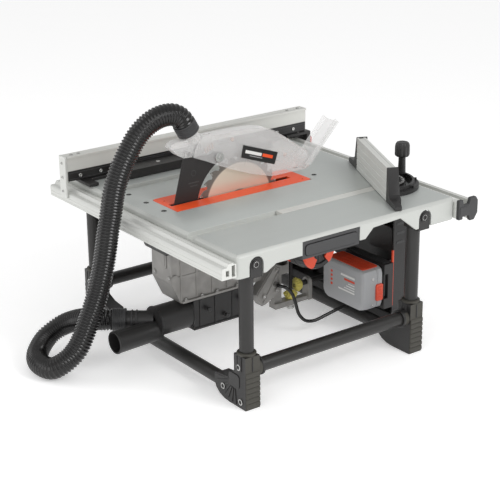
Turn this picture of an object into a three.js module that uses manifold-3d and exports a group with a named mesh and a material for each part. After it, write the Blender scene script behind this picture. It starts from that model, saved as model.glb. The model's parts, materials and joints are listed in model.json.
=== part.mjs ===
// Cordless table saw on a low tube stand, as separate pieces.
// Millimetres, +Z up, +X to the operator's right, +Y away from the operator.
// Inside the saw group the blade's plane is x = 0, the arbor is at y = 0 and the table's face is z = 0.
import * as THREE from "three";
import { mergeVertices } from "three/addons/utils/BufferGeometryUtils.js";
import Module from "manifold-3d";

const wasm = await Module();
wasm.setup();

// ---- driving dimensions -------------------------------------------------
const TABLE_HEIGHT = 345;           // floor to the table's face
const ORIGIN_X = 0;                 // moves the saw so that its box is centred on the origin
const ORIGIN_Y = 40.33;
const GAP = 0.3;                    // clearance between neighbouring pieces

const TABLE = { x0: -328, x1: 328, y0: -332, y1: 246, skirt: 49, top: 7, wall: 7, bevel: 6 };
const SLOT = { left: -174, right: 160, width: 25, depth: 9.5 };
const INSERT = { x0: -42, x1: 57, y0: -171, y1: 188.5, thick: 4, slotX0: -5, slotX1: 9, slotY0: -140, slotY1: 178 };

const LEG = { x: 292, rear: 198, front: -246, radius: 15, bottom: -244 };
const SIDE_TUBE_Z = -263;
const CROSS_TUBE_Z = -317;
const FOOT = { outer: 312, half: 18, bottom: -345, top: -229 };

const BLADE = { radius: 105, z: -24, thick: 2.4 };
const HOUSING = { half: 35, right: 37.6, wall: 4, y0: -112, y1: 205, top: -56, bottom: -211 };
const SCREW = { x: -28, y: -122, radius: 5 };
const CRANK = { z: -249, radius: 6 };
const GUARD = { half: 12, wall: 2, pivotY: 59, pivotZ: 87, reach: 66, top: 139 };
const HOSE = { radius: 23.5, cuff: 25 };
const FENCE = { x0: 253, x1: 274, z0: 8, z1: 65, y0: -390, y1: 280 };
const GAUGE = {
  x: -174, y: -260, angle: -25.2, slotRadius: 58, discRadius: 81, x0: -105.3, x1: 124.7, back: 2.3, front: 22.2,
  height: 75,
};
const PANEL = { half: 190, y0: -326, y1: -286, z0: -310, z1: -50, wall: 4 };
const BATTERY = { x0: -190, x1: -46, y0: -258, y1: -200, z0: -283, z1: -184 };

// ---- solids -------------------------------------------------------------
function solid(geometry) {
  const bare = geometry.index ? geometry.toNonIndexed() : geometry.clone();
  bare.deleteAttribute("normal");
  bare.deleteAttribute("uv");
  const merged = mergeVertices(bare, 1e-4);
  const mesh = new wasm.Mesh({
    numProp: 3,
    vertProperties: new Float32Array(merged.attributes.position.array),
    triVerts: new Uint32Array(merged.index.array),
  });
  mesh.merge();
  return new wasm.Manifold(mesh);
}

function surface(body) {
  const mesh = body.getMesh();
  const geometry = new THREE.BufferGeometry();
  geometry.setAttribute("position", new THREE.BufferAttribute(new Float32Array(mesh.vertProperties), 3));
  geometry.setIndex(new THREE.BufferAttribute(new Uint32Array(mesh.triVerts), 1));
  geometry.computeVertexNormals();
  return geometry;
}

function box(x0, x1, y0, y1, z0, z1) {
  const g = new THREE.BoxGeometry(x1 - x0, y1 - y0, z1 - z0);
  g.translate((x0 + x1) / 2, (y0 + y1) / 2, (z0 + z1) / 2);
  return solid(g);
}

const BASES = {
  x: new THREE.Matrix4().makeBasis(new THREE.Vector3(0, 1, 0), new THREE.Vector3(0, 0, 1), new THREE.Vector3(1, 0, 0)),
  y: new THREE.Matrix4().makeBasis(new THREE.Vector3(1, 0, 0), new THREE.Vector3(0, 0, 1), new THREE.Vector3(0, -1, 0)),
  z: new THREE.Matrix4(),
};

// A flat outline pushed along one axis: (y, z) points along x, (x, z) points along y, (x, y) points along z.
function prism(axis, points, from, to) {
  const shape = new THREE.Shape(points.map(([u, v]) => new THREE.Vector2(u, v)));
  const g = new THREE.ExtrudeGeometry(shape, { depth: to - from, bevelEnabled: false, steps: 1 });
  g.applyMatrix4(BASES[axis]);
  if (axis === "x") g.translate(from, 0, 0);
  if (axis === "y") g.translate(0, to, 0);
  if (axis === "z") g.translate(0, 0, from);
  return solid(g);
}

// A round bar or cone between two points.
function rod(a, b, radius, segments = 20, endRadius = radius) {
  const from = new THREE.Vector3(...a);
  const to = new THREE.Vector3(...b);
  const along = to.clone().sub(from);
  const g = new THREE.CylinderGeometry(endRadius, radius, along.length(), segments);
  g.applyQuaternion(new THREE.Quaternion().setFromUnitVectors(new THREE.Vector3(0, 1, 0), along.normalize()));
  g.translate((from.x + to.x) / 2, (from.y + to.y) / 2, (from.z + to.z) / 2);
  return solid(g);
}

const rodX = (x0, x1, y, z, r, n) => rod([x0, y, z], [x1, y, z], r, n);
const rodY = (y0, y1, x, z, r, n) => rod([x, y0, z], [x, y1, z], r, n);
const rodZ = (z0, z1, x, y, r, n) => rod([x, y, z0], [x, y, z1], r, n);

function join(...bodies) {
  return bodies.reduce((a, b) => a.add(b));
}

function cut(body, ...tools) {
  return tools.reduce((a, b) => a.subtract(b), body);
}

function arc(cu, cv, radius, fromDeg, toDeg, steps) {
  const points = [];
  for (let i = 0; i <= steps; i += 1) {
    const t = THREE.MathUtils.degToRad(fromDeg + ((toDeg - fromDeg) * i) / steps);
    points.push([cu + radius * Math.cos(t), cv + radius * Math.sin(t)]);
  }
  return points;
}

function roundedRect(u0, u1, v0, v1, r, steps = 3) {
  return [
    ...arc(u1 - r, v0 + r, r, -90, 0, steps),
    ...arc(u1 - r, v1 - r, r, 0, 90, steps),
    ...arc(u0 + r, v1 - r, r, 90, 180, steps),
    ...arc(u0 + r, v0 + r, r, 180, 270, steps),
  ];
}

function along(a, b, t) {
  const from = new THREE.Vector3(...a);
  const d = new THREE.Vector3(...b).sub(from).normalize();
  return from.addScaledVector(d, t).toArray();
}

const flipX = (points) => points.map(([u, v]) => [-u, v]);

// A bendy tube along points chosen by hand.
function cord(points, radius, sides, steps) {
  const path = new THREE.CatmullRomCurve3(points.map((p) => new THREE.Vector3(...p)), false, "centripetal");
  const ring = new THREE.Shape(arc(0, 0, radius, 0, 360 - 360 / sides, sides - 1).map(([u, v]) => new THREE.Vector2(u, v)));
  const g = new THREE.ExtrudeGeometry(ring, { steps, extrudePath: path, bevelEnabled: false });
  return solid(g);
}

// ---- materials ----------------------------------------------------------
const paint = (color, roughness, metalness, opacity = 1) =>
  new THREE.MeshStandardMaterial({ color, roughness, metalness, opacity, transparent: opacity < 1 });
const LOOK = {
  cast: () => paint(0xb4b5b2, 0.45, 0.6),
  aluminium: () => paint(0xc4c4bf, 0.35, 0.8),
  darkCast: () => paint(0x85827f, 0.5, 0.5),
  black: () => paint(0x2b2a29, 0.55, 0.0),
  tube: () => paint(0x3b3a3a, 0.45, 0.3),
  rubber: () => paint(0x55544d, 0.8, 0.0),
  orange: () => paint(0xe8592a, 0.5, 0.0),
  clear: () => paint(0xd9d6d3, 0.15, 0.0, 0.45),
  blade: () => paint(0xbdb5a6, 0.25, 0.9),
  knife: () => paint(0x2d2b2b, 0.5, 0.4),
  gear: () => paint(0xb3a648, 0.5, 0.0),
  steel: () => paint(0xb8b8b6, 0.3, 0.9),
  battery: () => paint(0x84817e, 0.6, 0.0),
  green: () => paint(0x3d8f4a, 0.5, 0.0),
  red: () => paint(0xc03a2c, 0.5, 0.0),
};

const saw = new THREE.Group();
saw.position.set(ORIGIN_X, ORIGIN_Y, TABLE_HEIGHT);

function add(name, body, look, parent = saw) {
  const mesh = new THREE.Mesh(surface(body), LOOK[look]());
  mesh.name = name;
  parent.add(mesh);
  return mesh;
}

// ---- table --------------------------------------------------------------
function tableTop() {
  const t = TABLE;
  const outline = prism("z", roundedRect(t.x0, t.x1, t.y0, t.y1, 12, 4), -t.skirt, 0);
  const alongX = prism("x", [
    [t.y0, -t.skirt], [t.y1, -t.skirt], [t.y1, -t.bevel], [t.y1 - t.bevel, 0],
    [t.y0 + t.bevel, 0], [t.y0, -t.bevel],
  ], t.x0 - 1, t.x1 + 1);
  const alongY = prism("y", [
    [t.x0, -t.skirt], [t.x1, -t.skirt], [t.x1, -t.bevel], [t.x1 - t.bevel, 0],
    [t.x0 + t.bevel, 0], [t.x0, -t.bevel],
  ], t.y0 - 1, t.y1 + 1);
  const inner = box(t.x0 + t.wall, t.x1 - t.wall, t.y0 + t.wall, t.y1 - t.wall, -t.skirt - 1, -t.top);
  let body = cut(outline.intersect(alongX).intersect(alongY), inner);

  const half = SLOT.width / 2;
  for (const x of [SLOT.left, SLOT.right]) {
    body = body.add(box(x - half - 5, x + half + 5, t.y0 + 3, t.y1 - 3, -15, -t.top + 1));
  }
  const i = INSERT;
  body = body.add(box(i.x0 - 8, i.x1 + 8, i.y0 - 8, i.y1 + 8, -11.5, -t.top + 1));
  for (const x of [SLOT.left, SLOT.right]) {
    body = body.subtract(box(x - half, x + half, t.y0 - 2, t.y1 + 2, -SLOT.depth, 2));
  }
  body = cut(
    body,
    box(i.x0 - GAP, i.x1 + GAP, i.y0 - GAP, i.y1 + GAP, -i.thick - 1.3, 2),
    box(i.x0 + 6, i.x1 - 6, i.y0 + 7, i.y1 - 7, -20, 2),
  );
  for (const x of [-20, 48, 117]) {
    body = cut(body, rodZ(-20, 2, x, 207.5, 5, 12), rodZ(-20, 2, x, -195, 5, 12));
  }

  // Sides: an arch over each leg, a recess for the grip and a raised lower edge.
  const edge = [
    [177, -60], [177, -51], [150, -36], [84.5, -36], [84.5, -7.5], [-65, -7.5], [-65, -38],
    [-80, -38], [-101, -18], [-176, -14], [-219, -48], [-222, -60],
  ];
  const arch = (y) => [[y + 17.3, -60], ...arc(y, -28, 17.3, 0, 180, 8), [y - 17.3, -60]];
  const sides = [edge, arch(LEG.rear), arch(LEG.front)];
  for (const points of sides) {
    body = cut(body, prism("x", points, t.x0 - 3, t.x0 + t.wall + 1), prism("x", points, t.x1 - t.wall - 1, t.x1 + 3));
  }
  return body;
}
add("table_top", tableTop(), "cast");

function throatInsert() {
  const i = INSERT;
  const c = 7;
  const plate = prism("z", [
    [i.x0 + c, i.y0], [i.x1 - c, i.y0], [i.x1, i.y0 + c], [i.x1, i.y1 - c],
    [i.x1 - c, i.y1], [i.x0 + c, i.y1], [i.x0, i.y1 - c], [i.x0, i.y0 + c],
  ], -i.thick - 1, 0);
  const deep = i.thick + 1;
  const relief = prism("y", [
    [i.slotX0, 1], [i.slotX0, -deep - 1], [i.slotX1 + deep + 1, -deep - 1], [i.slotX1, 0], [i.slotX1, 1],
  ], i.slotY0, i.slotY1);
  return cut(plate, relief, rodZ(-7, 1, 33, 172, 3, 10), rodZ(-7, 1, -28, -155, 3, 10));
}
add("throat_insert", throatInsert(), "orange");

// ---- rails --------------------------------------------------------------
function rearRail() {
  const y = TABLE.y1 + GAP;
  const body = prism("x", [
    [y, -42], [y + 34, -42], [y + 34, -21], [y + 31, -18], [y + 22, -18], [y + 18, -11],
    [y + 8, -11], [y + 6, -14], [y, -14],
  ], TABLE.x0, 333.5);
  const ends = [];
  for (const [x0, x1] of [[TABLE.x0 - 1, TABLE.x0 + 16], [317, 335]]) {
    ends.push(box(x0, x1, y + 3, y + 11, -39, -16));
    ends.push(box(x0, x1, y + 17, y + 25, -36, -24));
  }
  return cut(body, ...ends);
}
add("rear_rail", rearRail(), "aluminium");

function frontRail() {
  const y = TABLE.y0 - GAP;
  return prism("x", [
    [y, -12], [y, -48], [y - 34, -48], [y - 34, -54], [y - 46, -54], [y - 46, -12],
    [y - 36, -12], [y - 36, -22], [y - 22, -22], [y - 22, -12],
  ], -332, 332);
}
add("front_rail", frontRail(), "aluminium");

function railCap(side) {
  const y = TABLE.y0 - GAP;
  const outline = [
    [y, -6], [y, -50], [y - 12, -50], [y - 12, -44], [y - 30, -44], [y - 34, -57], [y - 46, -57],
    [y - 56, -42], [y - 56, -14], [y - 50, -5], [y - 34, -5], [y - 30, -18], [y - 14, -18], [y - 12, -6],
  ];
  return side < 0 ? prism("x", outline, -341, -332 - GAP) : prism("x", outline, 332 + GAP, 341);
}
add("rail_cap_left", railCap(-1), "black");
add("rail_cap_right", railCap(1), "black");

// ---- stand --------------------------------------------------------------
function leg(sx, y) {
  const x = sx * LEG.x;
  const tube = rodZ(LEG.bottom, -40, x, y, LEG.radius, 24);
  const outline = [[y - 15.5, -56], [y + 15.5, -56], ...arc(y, -28, 15.5, 0, 180, 8)];
  const inner = sx * (LEG.x - 13);
  const outer = sx * 325;
  const block = prism("x", outline, Math.min(inner, outer), Math.max(inner, outer));
  return tube.add(block);
}

// Corner casting: takes the leg from above, a cross tube from the side and a side tube from behind.
function foot(sx, y, sy) {
  const x = sx * LEG.x;
  const inward = [
    [-312, -345], [-255, -345], [-238, -343], [-222, -337.5], [-210, -328], [-205, -316],
    [-205, -299], [-240, -295], [-262, -286], [-273, -270], [-273, -229], [-312, -229],
  ];
  const outline = sx < 0 ? inward : flipX(inward);
  const plate = prism("y", outline, y - FOOT.half, y + FOOT.half);
  const stubEnd = y - sy * 32;
  const stub = rod([x, y, SIDE_TUBE_Z], [x, stubEnd, SIDE_TUBE_Z], 18.5, 20);
  const collar = rodZ(-262, -229, x, y, 20, 24);
  const body = join(plate, stub, collar);
  const legSocket = rodZ(-245, -220, x, y, LEG.radius + GAP, 24);
  const sideSocket = rod([x, y - sy * 14, SIDE_TUBE_Z], [x, y - sy * 60, SIDE_TUBE_Z], LEG.radius + GAP, 20);
  const crossSocket = rodX(Math.min(sx * 235, sx * 180), Math.max(sx * 235, sx * 180), y, CROSS_TUBE_Z, LEG.radius + GAP, 20);
  return cut(body, legSocket, sideSocket, crossSocket);
}

for (const [side, sx] of [["left", -1], ["right", 1]]) {
  add(`leg_rear_${side}`, leg(sx, LEG.rear), "tube");
  add(`leg_front_${side}`, leg(sx, LEG.front), "tube");
  add(`foot_rear_${side}`, foot(sx, LEG.rear, 1), "rubber");
  add(`foot_front_${side}`, foot(sx, LEG.front, -1), "rubber");
  add(`side_tube_${side}`, rodY(LEG.front + 15, LEG.rear - 15, sx * LEG.x, SIDE_TUBE_Z, LEG.radius, 20), "tube");
}
add("cross_tube_rear", rodX(-234, 234, LEG.rear, CROSS_TUBE_Z, LEG.radius, 20), "tube");
add("cross_tube_front", rodX(-234, 234, LEG.front, CROSS_TUBE_Z, LEG.radius, 20), "tube");

function sideGrip() {
  const body = box(-326.5, -317, -64.5, 84, -46, -8);
  return cut(body, prism("x", roundedRect(-58, 77, -40, -16, 8), -328, -321));
}
add("side_grip", sideGrip(), "black");

add("trunnion_front", cut(prism("y", [
  [-92, -12.5], [-92, -38], [-40, -92], [40, -92], [92, -38], [92, -12.5],
], -190, -181), box(-60, 60, -200, -170, -60, -34)), "black");
add("trunnion_rear", cut(prism("y", [
  [-92, -12.5], [-92, -38], [-40, -92], [40, -92], [92, -38], [92, -12.5],
], 210, 219), box(-60, 60, 200, 230, -60, -34)), "black");

function storageBox() {
  const body = box(216, 270, -150, 126, -140, -20);
  return cut(body, box(220, 266, -146, 140, -136, -26));
}
add("storage_box", storageBox(), "black");

// ---- front casing, dock and battery ------------------------------------
function arcSlot(cx, cz, radius, halfWidth, fromDeg, toDeg, steps) {
  return [
    ...arc(cx, cz, radius + halfWidth, fromDeg, toDeg, steps),
    ...arc(cx, cz, radius - halfWidth, toDeg, fromDeg, steps),
  ];
}

function frontPanel() {
  const p = PANEL;
  const outer = prism("y", roundedRect(-p.half, p.half, p.z0, p.z1, 10), p.y0, p.y1);
  const inner = box(-p.half + p.wall, p.half - p.wall, p.y0 + p.wall, p.y1 + 1, p.z0 + p.wall, p.z1 - p.wall);
  const frame = box(-170, -98, p.y0 - 6, p.y0 + 1, -166, -106);
  const shaftRadius = Math.hypot(SCREW.x, CRANK.z);
  const start = THREE.MathUtils.radToDeg(Math.atan2(CRANK.z, SCREW.x));
  const slot = prism("y", arcSlot(0, 0, shaftRadius, 9, start - 3, start + 48, 12), p.y0 - 10, p.y0 + 10);
  return cut(
    outer.subtract(inner).add(frame).add(box(-117, -99, -300, -285, -308, -288)),
    slot,
    box(-163, -139, p.y0 - 10, p.y0 + 10, -155, -117),
    box(-131, -107, p.y0 - 10, p.y0 + 10, -155, -117),
  );
}
add("front_panel", frontPanel(), "black");

function switchButton(x0) {
  return prism("y", roundedRect(x0 + 0.5, x0 + 23.5, -154.5, -117.5, 4), PANEL.y0 - 10, PANEL.y0 + 3);
}
add("switch_on", switchButton(-163), "green");
add("switch_off", switchButton(-131), "red");

function batteryDock() {
  const body = box(-192, -58, PANEL.y1 + GAP, BATTERY.y0 - GAP - 0.2, -287, -180);
  const rails = [box(-193, -70, BATTERY.y0 - 12, BATTERY.y0, -262, -204)];
  return cut(body, ...rails);
}
add("battery_dock", batteryDock(), "black");

function batteryPack() {
  const b = BATTERY;
  const body = prism("y", roundedRect(b.x0, b.x1, b.z0, b.z1, 9), b.y0, b.y1);
  const foot = box(b.x0 + 4, -73, b.y0 - 10.5, b.y0 + 1, -259, -207);
  return cut(body.add(foot), box(b.x0 - 1, b.x0 + 7, -256.5, -235.5, -262.5, -221.5));
}
add("battery_pack", batteryPack(), "battery");
add("battery_button", box(BATTERY.x0 - 3.5, BATTERY.x0 + 3.5, -256, -236, -262, -222), "orange");

// ---- tilting assembly ---------------------------------------------------
function bladeHousing() {
  const h = HOUSING;
  const outer = prism("x", [
    [h.y0, h.top], [h.y0, h.bottom], [181, h.bottom], [h.y1, -160], [h.y1, h.top],
  ], -h.half, h.right);
  const w = h.wall;
  const inner = prism("x", [
    [h.y0 + w, h.top + 20], [h.y0 + w, h.bottom + w], [2, h.bottom + w], [2, h.bottom - 20], [176, h.bottom - 20],
    [178.6, h.bottom], [h.y1 - w, -161], [h.y1 - w, h.top + 20],
  ], -h.half + w, h.right - w);
  const sideOpening = box(-h.half - 2, -h.half + w + 2, h.y0 + w, 25, -190, h.top + 20);
  const flange = box(-h.half - 5, -h.half + 1, 26, 179, h.bottom, h.bottom + 5);
  const lug = rodX(-h.half - 3, -h.half + 1, 196, -150, 8, 14);
  const bracket = prism("x", [
    [-63, -176], [-83, -184], [-82, -236], [-66, -252], [-38, -266], [-27, -268], [-10, -238],
  ], -46, -22);
  const gland = rodX(-52, -45, -66, -224, 7, 12);
  const upperEar = box(SCREW.x - 10, SCREW.x + 12, -134, h.y0 + 1, -72, -62);
  const lowerEar = box(SCREW.x - 12, SCREW.x + 12, -134, -70, -290, -277);
  const web = box(SCREW.x - 6, SCREW.x + 6, -92, -70, -290, -236);
  const arm = box(SCREW.x - 8, SCREW.x + 8, -176, -130, -290, -280);
  const upright = prism("y", [
    [SCREW.x - 12, -290], [SCREW.x + 12, -290], [SCREW.x + 12, CRANK.z],
    ...arc(SCREW.x, CRANK.z, 12, 0, 180, 6), [SCREW.x - 12, CRANK.z],
  ], -176, -166);
  const body = join(outer.subtract(inner).subtract(sideOpening), flange, lug, bracket, gland, upperEar, lowerEar, web, arm, upright);
  return cut(
    body,
    rodZ(-300, -270, SCREW.x, SCREW.y, SCREW.radius + GAP, 16),
    rodZ(-80, -50, SCREW.x, SCREW.y, SCREW.radius + GAP, 16),
    rodY(-180, -160, SCREW.x, CRANK.z, CRANK.radius + GAP, 16),
  );
}
add("blade_housing", bladeHousing(), "darkCast");

const PORT = { x: -14, z: -245, radius: 33 };
function dustShroud() {
  const body = box(-40, 40, 2.5, 152, -281, HOUSING.bottom - GAP);
  return cut(body, box(-36, 36, 6.5, 148, -277, -200), rodY(140, 160, PORT.x, PORT.z, 20, 20));
}
add("dust_shroud", dustShroud(), "black");

// Where the two branches of the port end, and the line the hose leaves along.
const BRANCH = { from: [-4, 232, PORT.z], to: [43, 296.5, PORT.z + 1] };
const OUTLET = { from: [-18, 230, -263], to: [-20, 340.8, -264] };

function dustPort() {
  const outer = join(
    rodY(152 + GAP, 238, PORT.x, PORT.z, PORT.radius, 28),
    rod(OUTLET.from, OUTLET.to, 22.5, 24, 24.5),
    rod(BRANCH.from, BRANCH.to, 20, 24, 20),
  );
  const bore = join(
    rodY(150, 232, PORT.x, PORT.z, PORT.radius - 4, 28),
    rod(along(OUTLET.from, OUTLET.to, -3), along(OUTLET.from, OUTLET.to, 115), 19.5, 24, 21.5),
    rod(along(BRANCH.from, BRANCH.to, -6), along(BRANCH.from, BRANCH.to, 90), 17, 24, 17),
  );
  return outer.subtract(bore);
}
add("dust_port", dustPort(), "black");

function cuff(a, b, t0, t1, bore, boreEnd) {
  const outer = rod(along(a, b, t0), along(a, b, t1), HOSE.cuff, 24);
  return outer.subtract(rod(along(a, b, t0 - 2), along(a, b, boreEnd), bore, 24));
}
add("hose_cuff_port", cuff(BRANCH.from, BRANCH.to, 58, 88, 20 + GAP, 81), "black");

function liftScrew() {
  return join(
    rodZ(-296, -59, SCREW.x, SCREW.y, SCREW.radius, 16),
    rodZ(-303, -290 - GAP, SCREW.x, SCREW.y, 9, 12),
    rodZ(-62 + GAP, -58, SCREW.x, SCREW.y, 8, 12),
  );
}
add("lift_screw", liftScrew(), "knife");
add("screw_gear", cut(
  join(
    rod([SCREW.x, SCREW.y, -276.5], [SCREW.x, SCREW.y, -267], 16.5, 24, 17),
    rod([SCREW.x, SCREW.y, -267], [SCREW.x, SCREW.y, -258.5], 17, 24, 8.5),
  ),
  rodZ(-280, -250, SCREW.x, SCREW.y, SCREW.radius + GAP, 16),
), "gear");

const axisY = SCREW.y - 0.8;
add("crank_shaft", rodY(-366, axisY - 9.4, SCREW.x, CRANK.z, CRANK.radius, 16), "knife");
add("crank_gear", cut(
  join(
    rod([SCREW.x, axisY - 26, CRANK.z], [SCREW.x, axisY - 18, CRANK.z], 16.5, 24, 17),
    rod([SCREW.x, axisY - 18, CRANK.z], [SCREW.x, axisY - 9.5, CRANK.z], 17, 24, 8.5),
  ),
  rodY(axisY - 30, axisY, SCREW.x, CRANK.z, CRANK.radius + GAP, 16),
), "gear");

const WHEEL = { y: -376, rim: 56, tube: 6.5 };
function handwheel() {
  const torus = new THREE.TorusGeometry(WHEEL.rim, WHEEL.tube, 8, 36);
  torus.rotateX(Math.PI / 2);
  torus.translate(SCREW.x, WHEEL.y, CRANK.z);
  let body = solid(torus).add(rodY(WHEEL.y - 8, WHEEL.y + 22, SCREW.x, CRANK.z, 15, 20));
  for (const deg of [90, 210, 330]) {
    const t = THREE.MathUtils.degToRad(deg);
    const end = [SCREW.x + WHEEL.rim * Math.cos(t), WHEEL.y, CRANK.z + WHEEL.rim * Math.sin(t)];
    body = body.add(rod([SCREW.x, WHEEL.y, CRANK.z], end, 6, 8));
  }
  const pin = rodY(WHEEL.y - 40, WHEEL.y, SCREW.x, CRANK.z + WHEEL.rim, 3, 12);
  return body.add(pin).subtract(rodY(-366 - GAP, -340, SCREW.x, CRANK.z, CRANK.radius + GAP, 16));
}
add("handwheel", handwheel(), "black");
add("handwheel_grip", cut(
  rodY(WHEEL.y - 46, WHEEL.y - 7.5, SCREW.x, CRANK.z + WHEEL.rim, 9.5, 18),
  rodY(WHEEL.y - 41, WHEEL.y, SCREW.x, CRANK.z + WHEEL.rim, 3 + GAP, 12),
), "black");

function bevelLockLever() {
  const hub = rodY(-341, -329, SCREW.x, CRANK.z, 14, 20);
  const arm = prism("y", [
    [SCREW.x + 4, CRANK.z + 9], [SCREW.x + 11, CRANK.z + 2], [SCREW.x + 62, CRANK.z + 47],
    [SCREW.x + 62, CRANK.z + 60], [SCREW.x + 50, CRANK.z + 60],
  ], -341, -332);
  return hub.add(arm).subtract(rodY(-345, -325, SCREW.x, CRANK.z, CRANK.radius + GAP, 16));
}
add("bevel_lock_lever", bevelLockLever(), "red");

// ---- lifting carriage ---------------------------------------------------
function arborCarriage() {
  const gearbox = prism("x", [
    [18, -14], [18, -50], [-8, -112], [-38, -146], [-88, -146], [-112, -122], [-112, -78], [-92, -50], [-44, -14],
  ], -64, -49);
  const boss = rodX(-50, -9, 0, BLADE.z, 12, 20);
  const bridge = box(-50, -16, -12, 12, -72, -30);
  const innerArm = box(-28, -16, -2, 141, -72, -42);
  const clamp = box(-17, -1.6, 114, 141, -72, -42);
  const nutArm = box(-64, -49, -136, -100, -105, -83);
  const lug = box(-50, -14, -136, -114.5, -105, -86);
  const body = join(gearbox, boss, bridge, innerArm, clamp, nutArm, lug);
  return cut(body, rodZ(-120, -70, SCREW.x, SCREW.y, SCREW.radius + 1, 16));
}
add("arbor_carriage", arborCarriage(), "darkCast");

function motor() {
  return join(
    rodX(-169, -64 - GAP, -62, -96, 48, 28),
    rod([-168, -62, -96], [-205, -62, -96], 46, 28, 40),
  );
}
add("motor", motor(), "black");

function rivingKnife() {
  const half = BLADE.thick / 2;
  const r = BLADE.radius + 6;
  const outline = [
    [112, -76], ...arc(0, BLADE.z, r, -24, 60, 16), [49, 86], [53, 96], [64, 97], [76, 93],
    [117, 95], [127, 111], [139, 112], [169, 0], [152, -40], [142, -76],
  ];
  const body = prism("x", outline, -half, half);
  return body.subtract(rodX(-5, 5, GUARD.pivotY, GUARD.pivotZ, 3 + GAP, 12));
}
add("riving_knife", rivingKnife(), "knife");

const SPOUT = { from: [0, 115, 131], to: [0, 138, 170.8] };
function guardSpout() {
  const g = GUARD;
  const outline = [
    ...arc(g.pivotY, g.pivotZ, g.reach + 1.5, 50, 10, 6), [147, 100], [161, 108], [182, 127], [178, 134], [165, 138.5],
  ];
  const inside = [
    [95, 136], [95, 85], [147, 97], [159.5, 110.5], [178.5, 127.5], [176, 131.5], [164, 136],
  ];
  const shell = prism("x", outline, -9.4, 9.4);
  const hollow = prism("x", inside, -7, 7);
  const grip = join(box(-8, -1.5, 128, 139, 99, 111), box(1.5, 8, 128, 139, 99, 111));
  const pipe = rod(SPOUT.from, SPOUT.to, 17, 24);
  const bore = rod(along(SPOUT.from, SPOUT.to, -6), along(SPOUT.from, SPOUT.to, 50), 6.5, 16);
  const wide = rod(along(SPOUT.from, SPOUT.to, 14), along(SPOUT.from, SPOUT.to, 50), 14.5, 24);
  return cut(shell.subtract(hollow).add(grip).add(pipe), bore, wide);
}
add("guard_spout", guardSpout(), "clear");
add("hose_cuff_guard", cuff(SPOUT.from, SPOUT.to, 24.5, 50, 17 + GAP, 47), "black");

function sawBlade() {
  const teeth = 24;
  const points = [];
  for (let i = 0; i < teeth; i += 1) {
    const base = (i * 360) / teeth;
    for (const [offset, r] of [[0, BLADE.radius], [4.5, BLADE.radius - 3], [9.5, BLADE.radius - 9]]) {
      const t = THREE.MathUtils.degToRad(base + offset);
      points.push([r * Math.cos(t), BLADE.z + r * Math.sin(t)]);
    }
  }
  const body = prism("x", points, -BLADE.thick / 2, BLADE.thick / 2);
  return body.subtract(rodX(-5, 5, 0, BLADE.z, 8 + GAP, 20));
}
add("saw_blade", sawBlade(), "blade");

function arborNut() {
  return join(
    rodX(-8.7, -BLADE.thick / 2 - 0.2, 0, BLADE.z, 14, 24),
    rodX(-3, 4, 0, BLADE.z, 8, 20),
    rodX(BLADE.thick / 2 + 0.2, 3.5, 0, BLADE.z, 14, 24),
    rodX(3, 7.5, 0, BLADE.z, 8.5, 6),
  );
}
add("arbor_nut", arborNut(), "steel");

// ---- blade guard --------------------------------------------------------
function guardHood() {
  const g = GUARD;
  const roof = [
    [40, 139], [0, 138], [-40, 135], [-62, 130], [-90, 119], [-116, 102], [-145, 82], [-180, 58],
  ];
  const lower = [[-190, 36], [-176, 16], [-82, 17], [-24, 34], [33, 56], [77, 76.5], [99, 87]];
  const outer = [...arc(g.pivotY, g.pivotZ, g.reach, 9, 52, 6), ...roof, ...lower];
  const inner = [
    [140, 136.2], [40, 136.2], [0, 135.2], [-41, 132.2], [-63, 127.2], [-91, 116.4], [-117.5, 99.6],
    [-146.5, 79.6], [-200, 43], [-200, 0], [140, 0],
  ];
  const shell = prism("x", outer, -g.half, g.half).subtract(prism("x", inner, -g.half + g.wall, g.half - g.wall));
  const slope = [[-174, 16], [-264, 110], [-254, 119.6], [-170, 32]];
  const band = prism("x", slope, -22, 22);
  const channel = band.subtract(prism("x", [
    [-150, 10], [-172.2, 17.7], [-262.2, 111.7], [-280, 140], [-230, 140], [-150, 60],
  ], -19.6, 19.6));
  const clearance = prism("y", [[-12, 12], [12, 12], [22, 26], [22, 130], [-22, 130], [-22, 26]], -280, -150);
  const body = shell.add(channel.intersect(clearance));
  const knifeNotch = box(-3.5, 3.5, 74, 110, 130, 145);
  return cut(body, knifeNotch, rodX(-20, 20, g.pivotY, g.pivotZ, 3 + GAP, 12));
}
add("guard_hood", guardHood(), "clear");
function guardPivot() {
  const heads = [-15.3, 12.3].map((x) => rodX(x, x + 3, GUARD.pivotY, GUARD.pivotZ, 11, 20));
  return join(rodX(-13.5, 13.5, GUARD.pivotY, GUARD.pivotZ, 3, 12), ...heads);
}
add("guard_pivot", guardPivot(), "black");

// ---- rip fence ----------------------------------------------------------
function ripFence() {
  const f = FENCE;
  const hingeStrip = box(248.5, f.x0 + 1, -250, 168, 14, 24);
  return hingeStrip.add(prism("y", [
    [f.x0, f.z0], [f.x1, f.z0], [f.x1, f.z1 - 5], [f.x1 + 3, f.z1 - 5], [f.x1 + 3, f.z1],
    [f.x0 - 3, f.z1], [f.x0 - 3, f.z1 - 5], [f.x0, f.z1 - 5],
  ], f.y0, f.y1));
}
add("rip_fence", ripFence(), "aluminium");
const endPlate = roundedRect(FENCE.x0 - 3, FENCE.x1 + 3, -28, 66, 2, 2);
add("fence_end_plate", prism("y", endPlate, FENCE.y1 + GAP + 0.3, FENCE.y1 + 6), "aluminium");
add("fence_glide", join(
  box(210, 252, 226, 249, 0.8, 7.5),
  box(246, 273, -320, 249, 0.8, 7.5),
), "black");
add("aux_fence", join(
  box(203, 206.5, -250, 168, 1, 21),
  box(206, 246, -250, 168, 17, 21),
), "black");
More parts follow.
